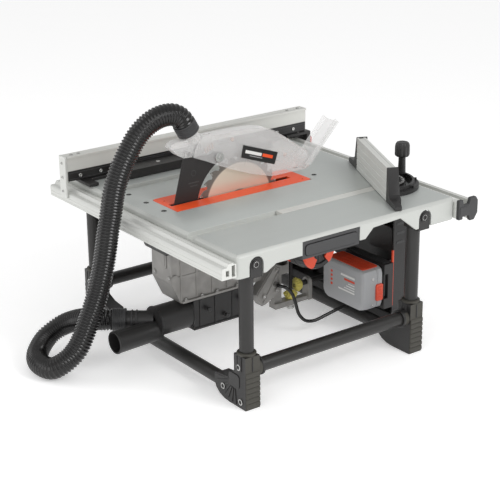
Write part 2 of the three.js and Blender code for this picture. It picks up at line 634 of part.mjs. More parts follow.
function fenceClamp() {
  const y = TABLE.y0;
  return join(
    box(245, 295, y - 64, y + 6, 0.8, 7.5),
    box(245, 295, y - 68, y - 57, -50, 7.5),
    box(262, 278, y - 60, y - 20, -9, 2),
  );
}
add("fence_clamp", fenceClamp(), "black");
function fenceLever() {
  const y = TABLE.y0 - 74;
  return join(
    rodX(256, 284, y, -14, 5.5, 14),
    prism("x", [[y - 5, -12], [y + 3.5, -14], [y + 1, -70], [y - 10, -84], [y - 12, -76], [y - 6, -60]], 254, 286),
  );
}
add("fence_lever", fenceLever(), "red");

// ---- mitre gauge --------------------------------------------------------
add("mitre_bar", join(
  box(GAUGE.x - 11, GAUGE.x + 11, -352, 23, -8.8, -0.4),
  rodZ(-1, 12, GAUGE.x, GAUGE.y, 2, 16),
), "aluminium");

const head = new THREE.Group();
head.position.set(GAUGE.x, GAUGE.y, 0);
head.rotation.z = THREE.MathUtils.degToRad(GAUGE.angle);
saw.add(head);

function mitreHead() {
  const g = GAUGE;
  const disc = prism("z", arc(0, 0, g.discRadius, 180, 360, 28), 0.8, 9);
  const rib = prism("z", [...arc(0, 0, 71, 188, 352, 22), ...arc(0, 0, 66, 352, 188, 22)], 8, 17);
  const plate = prism("z", arc(0, 0, 50, 184, 356, 18), 8, 15);
  const hub = rodZ(2, 17, 0, 0, 20, 24);
  const strip = box(g.x0 - 3, g.x1 + 3, -6, g.back - 0.4, 1, 16);
  const lug = (end, out) => {
    const wedge = prism("y", [
      [end, 1], [end, g.height + 0.5], [end + out * 5, g.height + 0.5], [end + out * 19, 20],
      [end + out * 28, 14], [end + out * 60, 12.5], [end + out * 66, 9], [end + out * 66, 1],
    ], -2, g.front);
    const step = [end + out * 30, end + out * 70].sort((m, n) => m - n);
    return wedge.subtract(box(step[0], step[1], -3, 7.5, -1, 30));
  };
  const slot = prism("z", arcSlot(0, 0, g.slotRadius, 5, 200, 340, 18), -5, 20);
  const room = box(g.x0 - GAP, g.x1 + GAP, g.back - 0.3, 60, -1, 80);
  const body = join(disc, rib, plate, hub, strip, lug(g.x0, -1), lug(g.x1, 1));
  return cut(body, room, slot, rodZ(-5, 25, 0, 0, 2 + GAP, 16));
}
add("mitre_head", mitreHead(), "black", head);
add("mitre_face", box(GAUGE.x0, GAUGE.x1, GAUGE.back, GAUGE.front, 1.5, GAUGE.height), "aluminium", head);

function mitreKnob() {
  const y = GAUGE.y - GAUGE.slotRadius;
  return join(
    rodZ(0, 18, GAUGE.x, y, 3.6, 12),
    rodZ(17.5, 58, GAUGE.x, y, 8.6, 16),
    rodZ(57, 90, GAUGE.x, y, 17, 12),
  );
}
add("mitre_knob", mitreKnob(), "black");

// ---- hose and cable -----------------------------------------------------
const HOSE_PATH = [
  along(SPOUT.from, SPOUT.to, 50.6), along(SPOUT.from, SPOUT.to, 60), [3, 159, 193], [7, 181, 195],
  [11, 209, 187], [15, 240, 164], [20, 266, 125],
  [24, 286, 84], [26, 299, 45], [27, 308, 0], [26, 318, -40], [25, 327, -84], [24, 338, -126], [26, 352, -173],
  [27, 372, -220], [30, 408, -285], [52, 448, -318], [92, 458, -321], [135, 442, -318], [160, 405, -298],
  [154, 372, -278], [130, 350, -262], [98, 338, -250], [70, 326, -245], along(BRANCH.from, BRANCH.to, 100),
  along(BRANCH.from, BRANCH.to, 88.6),
];
add("dust_hose", cord(HOSE_PATH, HOSE.radius, 12, 72), "black");

const CABLE_PATH = [
  [-52.6, -66, -224], [-60, -66, -224], [-70, -74, -226], [-77, -87, -241], [-80, -96, -268], [-83, -103, -294],
  [-87, -118, -312], [-91, -140, -317], [-96, -170, -310], [-101, -205, -301], [-105, -240, -297],
  [-108, -268, -297], [-108, -284.6, -297],
];
add("motor_cable", cord(CABLE_PATH, 4, 8, 44), "black");

export default saw;
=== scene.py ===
"""Looks for the cordless table saw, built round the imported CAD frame. Blender 4.5."""

import json
import math

import bmesh
import bpy
from mathutils import Matrix, Vector

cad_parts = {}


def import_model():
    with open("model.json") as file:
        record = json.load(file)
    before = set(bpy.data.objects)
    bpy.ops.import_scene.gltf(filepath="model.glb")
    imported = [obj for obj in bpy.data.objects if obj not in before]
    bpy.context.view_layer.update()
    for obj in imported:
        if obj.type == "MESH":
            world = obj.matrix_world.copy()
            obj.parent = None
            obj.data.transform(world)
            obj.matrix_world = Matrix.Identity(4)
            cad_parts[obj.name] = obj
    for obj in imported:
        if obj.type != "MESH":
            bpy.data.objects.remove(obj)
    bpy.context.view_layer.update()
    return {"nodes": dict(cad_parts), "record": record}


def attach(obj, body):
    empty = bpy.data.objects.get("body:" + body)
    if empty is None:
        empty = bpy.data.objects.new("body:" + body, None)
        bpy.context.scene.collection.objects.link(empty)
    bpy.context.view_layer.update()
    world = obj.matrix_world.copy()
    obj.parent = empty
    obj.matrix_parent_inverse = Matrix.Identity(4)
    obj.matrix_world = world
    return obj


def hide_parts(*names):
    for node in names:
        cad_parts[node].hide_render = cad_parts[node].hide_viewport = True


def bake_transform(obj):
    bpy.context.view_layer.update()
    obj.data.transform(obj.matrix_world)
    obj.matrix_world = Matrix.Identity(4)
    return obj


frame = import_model()

# ---- where things are: millimetres from the blade's plane, the arbor and the table's face -------------
ORIGIN_Y = 40.33
TABLE_Z = 345.0
TABLE_LEFT, TABLE_FRONT, TABLE_REAR, UNDERSIDE = -328, -332, 246, -7.1
BLADE_Z = -24
BLADE_R = 105
SCREW_X, SCREW_Y, CRANK_Z = -28, -122, -249
PIVOT_Y, PIVOT_Z = 59, 87
WHEEL_Y, WHEEL_R = -376, 56
CASING_Y = -326
MOTOR_X, MOTOR_Y, MOTOR_Z = -64.3, -62, -96
HOOD_X = 11.9
GAUGE_X, GAUGE_Y, GAUGE_ANGLE, KNOB_Y = -174, -260, math.radians(-25.2), -318
BX0, BX1, BY0, BY1, BZ0, BZ1 = -190, -46, -258, -200, -283, -184  # the battery's six sides
LEG_X, LEG_REAR, LEG_FRONT = 292, 198, -246
PORT_X, PORT_Z = -14, -245
# Directions: fore is towards the operator.
UP, LEFT, FORE, AFT = (0, 0, 1), (-1, 0, 0), (0, -1, 0), (0, 1, 0)

BODY_OF = {n: b for b, ns in frame["record"]["behaviour"]["bodies"].items() for n in ns}
SLOT_OF = {s["node"]: s["material_slot"] for s in frame["record"]["subparts"]}


def at(p):
    """A point in saw millimetres as metres in the record's frame."""
    return Vector((p[0] / 1000, (p[1] + ORIGIN_Y) / 1000, (p[2] + TABLE_Z) / 1000))


# ---- materials ----------------------------------------------------------------------------------------
def linear(rgb):
    return [((c / 255 + 0.055) / 1.055) ** 2.4 if c > 10 else c / 255 / 12.92 for c in rgb]


def surface(name, rgb, rough, metal=0.0, vary=0.08, blotch=25.0, grain=0.12, grain_scale=1200.0,
            stretch=(1, 1, 1), spread=0.08):
    """A moulded, cast, painted or drawn finish: blotches of tone, a grain in the bump and uneven gloss."""
    mat = bpy.data.materials.new(name)
    mat.use_nodes = True
    nodes, links = mat.node_tree.nodes, mat.node_tree.links
    shader = nodes["Principled BSDF"]
    coords = nodes.new("ShaderNodeTexCoord")
    place = nodes.new("ShaderNodeMapping")
    place.inputs["Scale"].default_value = stretch
    links.new(coords.outputs["Object"], place.inputs["Vector"])

    def noise(scale, detail):
        n = nodes.new("ShaderNodeTexNoise")
        n.inputs["Scale"].default_value = scale
        n.inputs["Detail"].default_value = detail
        links.new(place.outputs["Vector"], n.inputs["Vector"])
        return n.outputs["Fac"]

    base = linear(rgb)
    tone = nodes.new("ShaderNodeMix")
    tone.data_type = "RGBA"
    tone.inputs[6].default_value = [c * (1 - vary) for c in base] + [1]
    tone.inputs[7].default_value = [min(1, c * (1 + vary)) for c in base] + [1]
    links.new(noise(blotch, 4), tone.inputs[0])
    links.new(tone.outputs[2], shader.inputs["Base Color"])
    gloss = nodes.new("ShaderNodeMapRange")
    gloss.inputs["To Min"].default_value = max(0.02, rough - spread)
    gloss.inputs["To Max"].default_value = min(1.0, rough + spread)
    links.new(noise(blotch * 4, 3), gloss.inputs["Value"])
    links.new(gloss.outputs["Result"], shader.inputs["Roughness"])
    bump = nodes.new("ShaderNodeBump")
    bump.inputs["Strength"].default_value = grain
    bump.inputs["Distance"].default_value = 0.0006
    links.new(noise(grain_scale, 2), bump.inputs["Height"])
    links.new(bump.outputs["Normal"], shader.inputs["Normal"])
    shader.inputs["Metallic"].default_value = metal
    return mat


RAMP_R = 0.11  # metres from the arbor to the end of the blade's colour ramp


def blade_surface():
    """Steel: grey about the arbor, then a pale ground plate and a dark toothed rim."""
    mat = surface("blade_plate", (222, 214, 200), 0.34, 0.45, vary=0.04, grain=0.02, grain_scale=120,
                  stretch=(1, 1, 0.2))
    nodes, links = mat.node_tree.nodes, mat.node_tree.links
    shader = nodes["Principled BSDF"]
    coords = nodes.new("ShaderNodeTexCoord")
    centre = nodes.new("ShaderNodeVectorMath")
    centre.operation = "SUBTRACT"
    centre.inputs[1].default_value = at((0, 0, BLADE_Z))
    links.new(coords.outputs["Object"], centre.inputs[0])
    radius = nodes.new("ShaderNodeVectorMath")
    radius.operation = "LENGTH"
    links.new(centre.outputs[0], radius.inputs[0])
    scaled = nodes.new("ShaderNodeMath")
    scaled.operation = "MULTIPLY"
    scaled.inputs[1].default_value = 1 / RAMP_R
    links.new(radius.outputs["Value"], scaled.inputs[0])
    ramp = nodes.new("ShaderNodeValToRGB")
    links.new(scaled.outputs[0], ramp.inputs["Fac"])
    stops = [(0.22, (150, 146, 138)), (0.24, (214, 205, 188)), (0.76, (222, 212, 195)),
             (0.79, (120, 116, 110)), (1.0, (112, 110, 106))]
    elements = ramp.color_ramp.elements
    elements.remove(elements[1])
    elements[0].color = linear((150, 146, 138)) + [1]
    for pos, rgb in stops:
        elements.new(pos).color = linear(rgb) + [1]
    links.new(ramp.outputs["Color"], shader.inputs["Base Color"])
    return mat


def clear_surface(name, rgb, alpha, rough=0.1):
    """Clear moulded plastic, a little cloudy and scuffed, more solid where it is seen edge on."""
    mat = surface(name, rgb, rough, vary=0.05, blotch=18, grain=0.1, grain_scale=90, spread=0.05)
    nodes, links = mat.node_tree.nodes, mat.node_tree.links
    edge = nodes.new("ShaderNodeLayerWeight")
    edge.inputs["Blend"].default_value = 0.35
    cover = nodes.new("ShaderNodeMapRange")
    cover.inputs["To Min"].default_value = alpha
    cover.inputs["To Max"].default_value = min(1.0, alpha + 0.62)
    links.new(edge.outputs["Facing"], cover.inputs["Value"])
    links.new(cover.outputs["Result"], nodes["Principled BSDF"].inputs["Alpha"])
    return mat


M = {
    "cast_aluminium": surface(
        "milled_table", (186, 190, 187), 0.42, 0.25, vary=0.035, blotch=9, grain=0.1, grain_scale=700,
        stretch=(3.0, 0.35, 1)),
    "table_side": surface("cast_table_edge", (192, 194, 190), 0.45, 0.2, vary=0.03, blotch=14, grain=0.1),
    "extruded_x": surface(
        "drawn_aluminium_x", (212, 213, 209), 0.36, 0.2, vary=0.05, blotch=60, grain=0.1, grain_scale=900,
        stretch=(0.02, 1, 1)),
    "extruded_y": surface(
        "drawn_aluminium_y", (212, 212, 207), 0.36, 0.2, vary=0.05, blotch=60, grain=0.1, grain_scale=900,
        stretch=(1, 0.02, 1)),
    "grey_cast_metal": surface(
        "rough_casting", (146, 144, 141), 0.42, 0.4, vary=0.3, blotch=38, grain=0.5, grain_scale=350),
    "black_plastic": surface(
        "black_moulding", (36, 35, 35), 0.4, vary=0.12, blotch=30, grain=0.25, grain_scale=1500),
    "grey_black": surface(
        "dark_grey_moulding", (56, 56, 57), 0.46, vary=0.08, blotch=30, grain=0.25, grain_scale=1500),
    "black_painted_steel": surface(
        "powder_coated_steel", (40, 39, 38), 0.36, 0.1, vary=0.06, blotch=40, grain=0.3,
        grain_scale=1800),
    "knife_steel": surface(
        "blackened_steel", (50, 48, 48), 0.4, 0.4, vary=0.1, blotch=60, grain=0.1, grain_scale=1500,
        stretch=(1, 1, 0.3)),
    "foot_rubber": surface(
        "foot_rubber", (62, 60, 54), 0.6, vary=0.1, blotch=45, grain=0.5, grain_scale=800),
    "orange_plastic": surface(
        "orange_insert", (240, 84, 34), 0.42, vary=0.05, blotch=20, grain=0.15, grain_scale=1100),
    "clear_plastic": clear_surface("clear_guard", (236, 235, 234), 0.18, 0.12),
    "clear_pink": clear_surface("clear_guard_edge", (232, 216, 210), 0.3),
    "blade_steel": blade_surface(),
    "carbide": surface("carbide_tips", (172, 170, 166), 0.25, 0.9, vary=0.1, blotch=200, grain=0.05),
    "bright_steel": surface("bright_steel", (190, 190, 188), 0.25, 0.9, vary=0.08, blotch=90, grain=0.08),
    "yellow_gear_plastic": surface("gear_yellow", (196, 184, 92), 0.5, vary=0.15, blotch=70, grain=0.2),
    "grey_plastic": surface(
        "battery_grey", (170, 171, 173), 0.55, vary=0.05, blotch=30, grain=0.3, grain_scale=1600),
    "green_plastic": surface("switch_green", (48, 140, 62), 0.35, vary=0.06, grain=0.1),
    "red_plastic": surface("lever_red", (206, 48, 32), 0.4, vary=0.06, grain=0.15),
    "red_orange": surface("battery_red_orange", (226, 78, 46), 0.45, vary=0.08, blotch=50, grain=0.2),
    "hose_rubber": surface(
        "hose_black", (20, 19, 19), 0.24, vary=0.12, blotch=40, grain=0.15, grain_scale=900),
    "label_white": surface("label_white", (228, 228, 226), 0.4, vary=0.03, grain=0.05),
    "label_black": surface("label_black", (30, 29, 29), 0.35, vary=0.06, grain=0.05),
}
# Short names for the looks used most.
BLACK, DARK, STEEL, CAST = "black_plastic", "grey_black", "bright_steel", "grey_cast_metal"
WHITE, INK, RED, ORANGE = "label_white", "label_black", "red_orange", "orange_plastic"


def look_of(node):
    name = SLOT_OF[node]
    return M["extruded_x" if name == "extruded_aluminium" else name]


# ---- outlines -----------------------------------------------------------------------------------------
def polar(cu, cv, r, degrees):
    t = math.radians(degrees)
    return cu + r * math.cos(t), cv + r * math.sin(t)


def circle(steps):
    """Cosine and sine of even steps round a circle."""
    return [polar(0, 0, 1, 360 * i / steps) for i in range(steps)]


def arc(cu, cv, r, a0, a1, steps):
    return [polar(cu, cv, r, a0 + (a1 - a0) * i / steps) for i in range(steps + 1)]


def rounded(u0, u1, v0, v1, r, steps=4):
    return (arc(u1 - r, v0 + r, r, -90, 0, steps) + arc(u1 - r, v1 - r, r, 0, 90, steps)
            + arc(u0 + r, v1 - r, r, 90, 180, steps) + arc(u0 + r, v0 + r, r, 180, 270, steps))


def pill(u, v, half_u, half_v, r, steps=4):
    """A rounded rectangle about its middle."""
    return rounded(u - half_u, u + half_u, v - half_v, v + half_v, r, steps)


def strip(a, b, half):
    """A narrow four-cornered bar from point a to point b."""
    a, b = Vector(a), Vector(b)
    d = direction(a, b)
    n = Vector((-d.y, d.x)) * half
    return [a - n, b - n, b + n, a + n]


def direction(a, b):
    return (Vector(b) - Vector(a)).normalized()


def along(a, b, t):
    return Vector(a) + direction(a, b) * t


# ---- mesh building ------------------------------------------------------------------------------------
AXES = {
    "x": lambda u, v, w: (w, u, v),
    "y": lambda u, v, w: (u, w, v),
    "z": lambda u, v, w: (u, v, w),
}
EDGE_ANGLE = 35  # degrees between two faces that makes an edge


def add_object(name, data):
    obj = bpy.data.objects.new(name, data)
    bpy.context.collection.objects.link(obj)
    return obj


class Build:
    """Collects closed solids, in saw millimetres, into one object with several materials."""

    def __init__(self, turn=None):
        self.bm = bmesh.new()
        self.looks = []
        self.turn = turn or Matrix.Identity(4)

    def shell(self, rings, look, loop=False):
        """Joins rings of points into a skin, with flat ends or closed on itself."""
        if look not in self.looks:
            self.looks.append(look)
        rows = [[self.bm.verts.new(self.turn @ Vector(p)) for p in ring] for ring in rings]
        faces = []
        pairs = list(zip(rows, rows[1:]))
        if loop:
            pairs.append((rows[-1], rows[0]))
        for a, b in pairs:
            for i in range(len(a)):
                j = (i + 1) % len(a)
                faces.append(self.bm.faces.new((a[i], a[j], b[j], b[i])))
        if not loop:
            faces.append(self.bm.faces.new(rows[0][::-1]))
            faces.append(self.bm.faces.new(rows[-1]))
        for f in faces:
            f.material_index = self.looks.index(look)
        bmesh.ops.recalc_face_normals(self.bm, faces=faces)
        return self

    def prism(self, axis, points, a, b, look):
        """An outline across an axis, filled between two places on that axis."""
        place = AXES[axis]
        return self.shell([[place(u, v, w) for u, v in points] for w in sorted((a, b))], look)

    def box(self, x0, x1, y0, y1, z0, z1, look):
        return self.prism("z", [(x0, y0), (x1, y0), (x1, y1), (x0, y1)], z0, z1, look)

    def lathe(self, start, axis, profile, look, sides=24, loop=False):
        """Turns (distance along, radius) pairs about a line. With loop, the profile closes on itself."""
        d = Vector(axis).normalized()
        q = Vector(UP).rotation_difference(d)
        rings = [[Vector(start) + d * t + q @ Vector((r * c, r * s, 0)) for c, s in circle(sides)]
                 for t, r in profile]
        return self.shell(rings, look, loop)

    def rod(self, a, b, r, look, sides=20):
        axis = Vector(b) - Vector(a)
        e = min(0.8, axis.length / 4, r / 3)
        profile = [(0, r - e), (e, r), (axis.length - e, r), (axis.length, r - e)]
        return self.lathe(a, axis, profile, look, sides)

    def bolt(self, p, axis, r, look, h):
        """A screw head of height h: a rounded rim round a sunk socket."""
        rim = [(0, r), (h * 0.75, r), (h, r * 0.86), (h, r * 0.62), (h * 0.35, r * 0.55)]
        return self.lathe(p, axis, rim, look)

    def washer(self, p, axis, r_in, r_out, thick, look):
        e = min(0.4, thick / 3)
        profile = [(0, r_in), (0, r_out - e), (e, r_out), (thick - e, r_out), (thick, r_out - e),
                   (thick, r_in)]
        return self.lathe(p, axis, profile, look, 28, loop=True)

    def link(self, name):
        """The solids so far as one object of the scene, moved to the record's frame."""
        mesh = bpy.data.meshes.new(name)
        for v in self.bm.verts:
            v.co = at(v.co)
        self.bm.to_mesh(mesh)
        self.bm.free()
        for look in self.looks:
            mesh.materials.append(M[look])
        return add_object(name, mesh)

    def done(self, name, body, nodes=(), slot=BLACK, bevel=0.0, smooth=EDGE_ANGLE):
        return finish_piece(self.link(name), body, nodes, bevel, smooth)


def shade(obj, bevel, smooth=EDGE_ANGLE):
    obj.data.shade_smooth()
    obj.data.set_sharp_from_angle(angle=math.radians(smooth))
    if bevel:
        mod = obj.modifiers.new("rounded_edges", "BEVEL")
        mod.width = bevel / 1000
        mod.segments = 2
        mod.limit_method = "ANGLE"
        mod.angle_limit = math.radians(EDGE_ANGLE)
        mod.harden_normals = True


def finish_piece(obj, body, nodes, bevel, smooth=EDGE_ANGLE):
    shade(obj, bevel, smooth)
    if body:
        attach(obj, body)
    if nodes:
        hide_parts(*nodes)
    return obj


def soften(node, bevel, *looks, pick=None, split=False):
    """The CAD piece's own shape with its edges rounded over. pick chooses between the looks by a face's
    normal and centre. split cuts large faces into triangles, so that the rounding can't close an opening."""
    bm = bmesh.new()
    bm.from_mesh(frame["nodes"][node].data)
    bmesh.ops.remove_doubles(bm, verts=bm.verts, dist=2e-6)
    bmesh.ops.dissolve_limit(bm, angle_limit=math.radians(1.0), verts=bm.verts, edges=bm.edges)
    if split:
        bmesh.ops.triangulate(bm, faces=[f for f in bm.faces if len(f.verts) > 4])
    for f in bm.faces:
        f.material_index = pick(f.normal, f.calc_center_median()) if pick else 0
    mesh = bpy.data.meshes.new("fine_" + node)
    bm.to_mesh(mesh)
    bm.free()
    for mat in [M[name] for name in looks] or [look_of(node)]:
        mesh.materials.append(mat)
    return finish_piece(add_object("fine_" + node, mesh), BODY_OF[node], [node], bevel)


# ---- camera first, then the cords ---------------------------------------------------------------------
def camera():
    data = bpy.data.cameras.new("camera")
    data.sensor_width = 36
    data.lens = 101.17296
    data.clip_end = 40
    obj = add_object("camera", data)
    right = Vector((-0.5982524, -0.8012661, -0.0081639))
    up = Vector((0.2784954, -0.2174657, 0.9354940))
    back = Vector((-0.7513550, 0.5573879, 0.3532483))
    obj.matrix_world = Matrix((right, up, back)).transposed().to_4x4()
    obj.location = at((-2346.8, 1711.5, 955.5))
    bpy.context.scene.camera = obj


camera()


FINE_STEPS = 40


def smooth_route(points, step):
    """Centripetal curve through the points, as evenly spaced samples."""
    pts = [Vector(p) for p in points]
    pts = [2 * pts[0] - pts[1]] + pts + [2 * pts[-1] - pts[-2]]
    fine = []
    for p0, p1, p2, p3 in zip(pts, pts[1:], pts[2:], pts[3:]):
        t0 = 0.0
        t1 = t0 + (p1 - p0).length ** 0.5
        t2 = t1 + (p2 - p1).length ** 0.5
        t3 = t2 + (p3 - p2).length ** 0.5
        for k in range(FINE_STEPS):
            t = t1 + (t2 - t1) * k / FINE_STEPS
            a1 = p0 * ((t1 - t) / (t1 - t0)) + p1 * ((t - t0) / (t1 - t0))
            a2 = p1 * ((t2 - t) / (t2 - t1)) + p2 * ((t - t1) / (t2 - t1))
            a3 = p2 * ((t3 - t) / (t3 - t2)) + p3 * ((t - t2) / (t3 - t2))
            b1 = a1 * ((t2 - t) / (t2 - t0)) + a2 * ((t - t0) / (t2 - t0))
            b2 = a2 * ((t3 - t) / (t3 - t1)) + a3 * ((t - t1) / (t3 - t1))
            fine.append(b1 * ((t2 - t) / (t2 - t1)) + b2 * ((t - t1) / (t2 - t1)))
    fine.append(pts[-2])
    total = sum((b - a).length for a, b in zip(fine, fine[1:]))
    count = max(2, round(total / step))
    gap = total / count
    samples = [fine[0]]
    walked = 0.0
    for a, b in zip(fine, fine[1:]):
        d = (b - a).length
        while walked + d >= gap * len(samples) and len(samples) < count:
            samples.append(a.lerp(b, (gap * len(samples) - walked) / d))
        walked += d
    samples.append(fine[-1])
    return samples, total


def tube(name, points, step, radii, sides, node):
    """A rubber skin along a route. radii is repeated along it, so several radii make ribs."""
    samples, length = smooth_route(points, step)
    tangent = (samples[1] - samples[0]).normalized()
    side = tangent.orthogonal().normalized()
    rings = []
    for i, p in enumerate(samples):
        ahead = samples[min(i + 1, len(samples) - 1)] - samples[max(i - 1, 0)]
        new = ahead.normalized()
        side = tangent.rotation_difference(new) @ side
        tangent = new
        other = tangent.cross(side)
        r = radii[i % len(radii)]
        rings.append([p + (side * c + other * s) * r for c, s in circle(sides)])
    b = Build().shell(rings, "hose_rubber")
    obj = b.done(name, None, [node], smooth=180)
    return obj, [at(p) for p in samples], length / 1000


SPOUT = ((0, 115, 131), (0, 138, 170.8))
BRANCH = ((-4, 232, PORT_Z), (43, 296.5, PORT_Z + 1))
OUTLET = ((-18, 230, -263), (-20, 340.8, -264))
HOSE_ROUTE = [
    along(*SPOUT, 50.6), along(*SPOUT, 60), (3, 159, 193), (7, 181, 195), (11, 209, 187), (15, 240, 164),
    (20, 266, 125), (24, 286, 84), (26, 299, 45), (27, 308, 0), (26, 318, -40), (25, 327, -84),
    (24, 338, -126), (26, 352, -173), (27, 372, -220), (30, 408, -285), (52, 448, -318), (92, 458, -321),
    (135, 442, -318), (160, 405, -298), (154, 372, -278), (130, 350, -262), (98, 338, -250), (70, 326, -245),
    along(*BRANCH, 100), along(*BRANCH, 88.6),
]
CABLE_ROUTE = [
    (-52.6, -66, -224), (-60, -66, -224), (-70, -74, -226), (-77, -87, -241), (-80, -96, -268),
    (-83, -103, -294), (-87, -118, -312), (-91, -140, -317), (-96, -170, -310), (-101, -205, -301),
    (-105, -240, -297), (-108, -268, -297), (-108, -284.6, -297),
]
RIB_STEP, RIB_RADII = 1.65, (23.6, 23.6, 21.0, 21.0)
hose, hose_path, hose_length = tube("ribbed_dust_hose", HOSE_ROUTE, RIB_STEP, RIB_RADII, 26, "dust_hose")
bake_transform(hose)
cable, cable_path, cable_length = tube("motor_lead", CABLE_ROUTE, 2.5, (3.9,), 16, "motor_cable")
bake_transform(cable)


# ---- table, insert and rails --------------------------------------------------------------------------
def top_or_side(normal, centre):
    depth = TABLE_Z / 1000 - centre.z
    return 0 if abs(normal.z) > 0.9 and not 0.002 <= depth <= 0.02 else 1


soften("table_top", 1.2, "cast_aluminium", "table_side", pick=top_or_side, split=True)
soften("throat_insert", 0.6)

# Countersunk screws round the insert.
b = Build()
for x, y in ((33, 172), (-28, -155), (47, 60), (47, -90), (-34, 178), (47, -160)):
    b.washer((x, y, -0.3), UP, 2.2, 3.4, 0.7, ORANGE)
    b.lathe((x, y, -1.6), UP, [(0, 2.2), (1.4, 2.2), (1.5, 1.2), (0.7, 1.1)], STEEL, 16)
b.done("insert_screws", "stand", slot=ORANGE)

# A dark plate under the front end of the insert's slot, ahead of the blade: painted shade that stops the
# floor showing through the slot.
b = Build()
b.prism("z", rounded(-12, 38, -158, -111, 4), -6.4, -5.2, INK)
b.done("slot_painted_shade_plate", "stand", bevel=0.3)

# Levelling and fixing screws sunk in the table's holes.
b = Build()
for x in (-20, 48, 117):
    for y in (207.5, -195):
        b.lathe((x, y, -6.8), UP, [(0, 4.8), (1.6, 4.8), (2.4, 3.9), (2.4, 2.5), (0.8, 2.3)], INK, 20)
        b.washer((x, y, -0.9), UP, 4.2, 5.0, 0.8, INK)
        b.washer((x, y, 0.02), UP, 4.0, 6.0, 0.2, INK)
b.done("table_screws", "stand")

# Stiffening ribs of the casting, clear of everything that tilts.
b = Build()
for y in (-270, -210, -60, 10, 120, 220):
    for x0, x1 in ((-320, -193), (-155, -100), (100, 141), (179, 205), (275, 320)):
        rib = [(x0, UNDERSIDE), (x0, -13), (x0 + 6, -17), (x1 - 6, -17), (x1, -13), (x1, UNDERSIDE)]
        b.prism("y", rib, y - 1.5, y + 1.5, "table_side")
b.done("table_ribs", "stand", slot="cast_aluminium", bevel=0.4)


def carve(obj, boxes, bevel):
    """Cuts boxes, given in saw millimetres, out of a piece, then rounds its edges."""
    b = Build()
    for corners in boxes:
        b.box(*corners, BLACK)
    cutter = b.link("cutter")
    mod = obj.modifiers.new("cut", "BOOLEAN")
    mod.object = cutter
    mod.solver = "EXACT"
    graph = bpy.context.evaluated_depsgraph_get()
    cut_mesh = bpy.data.meshes.new_from_object(obj.evaluated_get(graph))
    obj.modifiers.clear()
    obj.data = cut_mesh
    bpy.data.objects.remove(cutter)
    shade(obj, bevel)


REAR = TABLE_REAR + 0.3
rear_profile = [
    (0, -42), (34, -42), (34, -38), (33.2, -37.6), (33.2, -36.8), (34, -36.4), (34, -30.4), (33.2, -30),
    (33.2, -29), (34, -28.6), (34, -21), (33, -19.4), (31, -18), (22.4, -18), (21.6, -17.4), (20, -13.4),
    (18, -11.2), (17, -11), (14.5, -11), (14.2, -11.6), (12, -11.6), (11.7, -11), (8, -11), (6.6, -12.4),
    (6, -14), (0, -14),
]
b = Build().prism("x", [(REAR + y, z) for y, z in rear_profile], TABLE_LEFT, 333.5, "extruded_x")
rear = b.done("drawn_rear_rail", "stand", ["rear_rail"])
RAIL_ENDS = (-330, -300), (310, 336)
carve(rear, [(*end, REAR + 3, REAR + 11, -39, -16) for end in RAIL_ENDS]
      + [(*end, REAR + 17, REAR + 25, -36, -24) for end in RAIL_ENDS], 0.4)

soften("front_rail", 0.6, "extruded_x")
# The front rail's scale, in steps of 10 mm, and fine beads along its front.
FRONT = TABLE_FRONT - 0.3
b = Build()
b.box(-310, 318, FRONT - 19.5, FRONT - 3, -12.2, -11.6, WHITE)
for i in range(61):
    x = -300 + i * 10
    tick = 9 if i % 5 == 0 else 5
    b.box(x - 0.45, x + 0.45, FRONT - 19, FRONT - 19 + tick, -11.65, -11.5, INK)
for z in (-20, -28, -36, -44):
    bead = [(-46.2, -1), (-46.5, -0.5), (-46.5, 0.5), (-46.2, 1), (-45.5, 1), (-45.5, -1)]
    b.prism("x", [(FRONT + u, z + v) for u, v in bead], -331, 331, "extruded_x")
b.done("rail_scale", "stand", slot="extruded_aluminium")
soften("rail_cap_left", 1.4, DARK)
soften("rail_cap_right", 1.4, DARK)
b = Build()
for sx in (-1, 1):
    b.prism("x", rounded(FRONT - 30, FRONT - 3, -42, -22, 2), sx * 341, sx * 341.8, DARK)
b.done("rail_cap_screws", "stand")

soften("side_grip", 1.5, DARK)
b = Build()
b.washer((-326.2, -50, -24), LEFT, 2.4, 5.5, 1.2, DARK)
b.bolt((-326, -50, -24), LEFT, 2.6, STEEL, 1)
b.prism("x", rounded(-57.2, 76.2, -39.4, -16.6, 7.4), -327.9, -321.4, DARK)
b.done("grip_details", "stand")


# ---- stand --------------------------------------------------------------------------------------------
LEG_CUFF = [(0, 15.2), (0, 19.6), (1.5, 20.2), (5, 20.2), (6.2, 18.6), (6.4, 15.2)]
FOOT_COLLAR = [(-4, 15.6), (-4, 19), (-3, 20), (1.5, 20), (2.2, 19), (2.2, 15.6)]
TREAD = [(0, 0), (1.6, 0.6), (2.5, 2.6), (2.7, 5.6), (2.4, 8.4), (1.4, 10.2), (0, 11)]
LEG_SIDE, FOOT_SIDE = 325, 312
FOOT_HUB = (274, -288)
FOOT_RIBS = (53, 52, 52, 55, 62, 66, 66)  # how far each rib reaches from the hub


def leg(end, y, side, sx):
    """One leg with its bolt, its cuff and the moulded foot under it."""
    soften(f"leg_{end}_{side}", 0.8)
    b = Build()
    x = sx * LEG_SIDE
    out = (sx, 0, 0)
    b.prism("x", [(y - 14, -52), (y + 14, -52)] + arc(y, -28, 14, 0, 180, 14), x, x + sx * 1.2, BLACK)
    b.washer((x + sx, y, -28), out, 6.6, 10.6, 2.2, INK)
    b.washer((x + sx * 0.9, y, -28), out, 5.2, 6.5, 1.6, STEEL)
    b.bolt((x + sx * 0.8, y, -28), out, 5.1, "knife_steel", 2.2)
    b.lathe((sx * LEG_X, y, -229.2), UP, LEG_CUFF, "foot_rubber", 32, loop=True)
    b.done(f"leg_fittings_{end}_{side}", "stand", slot="black_painted_steel", bevel=0.3)
    soften(f"foot_{end}_{side}", 1.6, BLACK, "foot_rubber",
           pick=lambda n, c: 1 if abs(n.x) > 0.6 or n.z < -0.6 else 0)


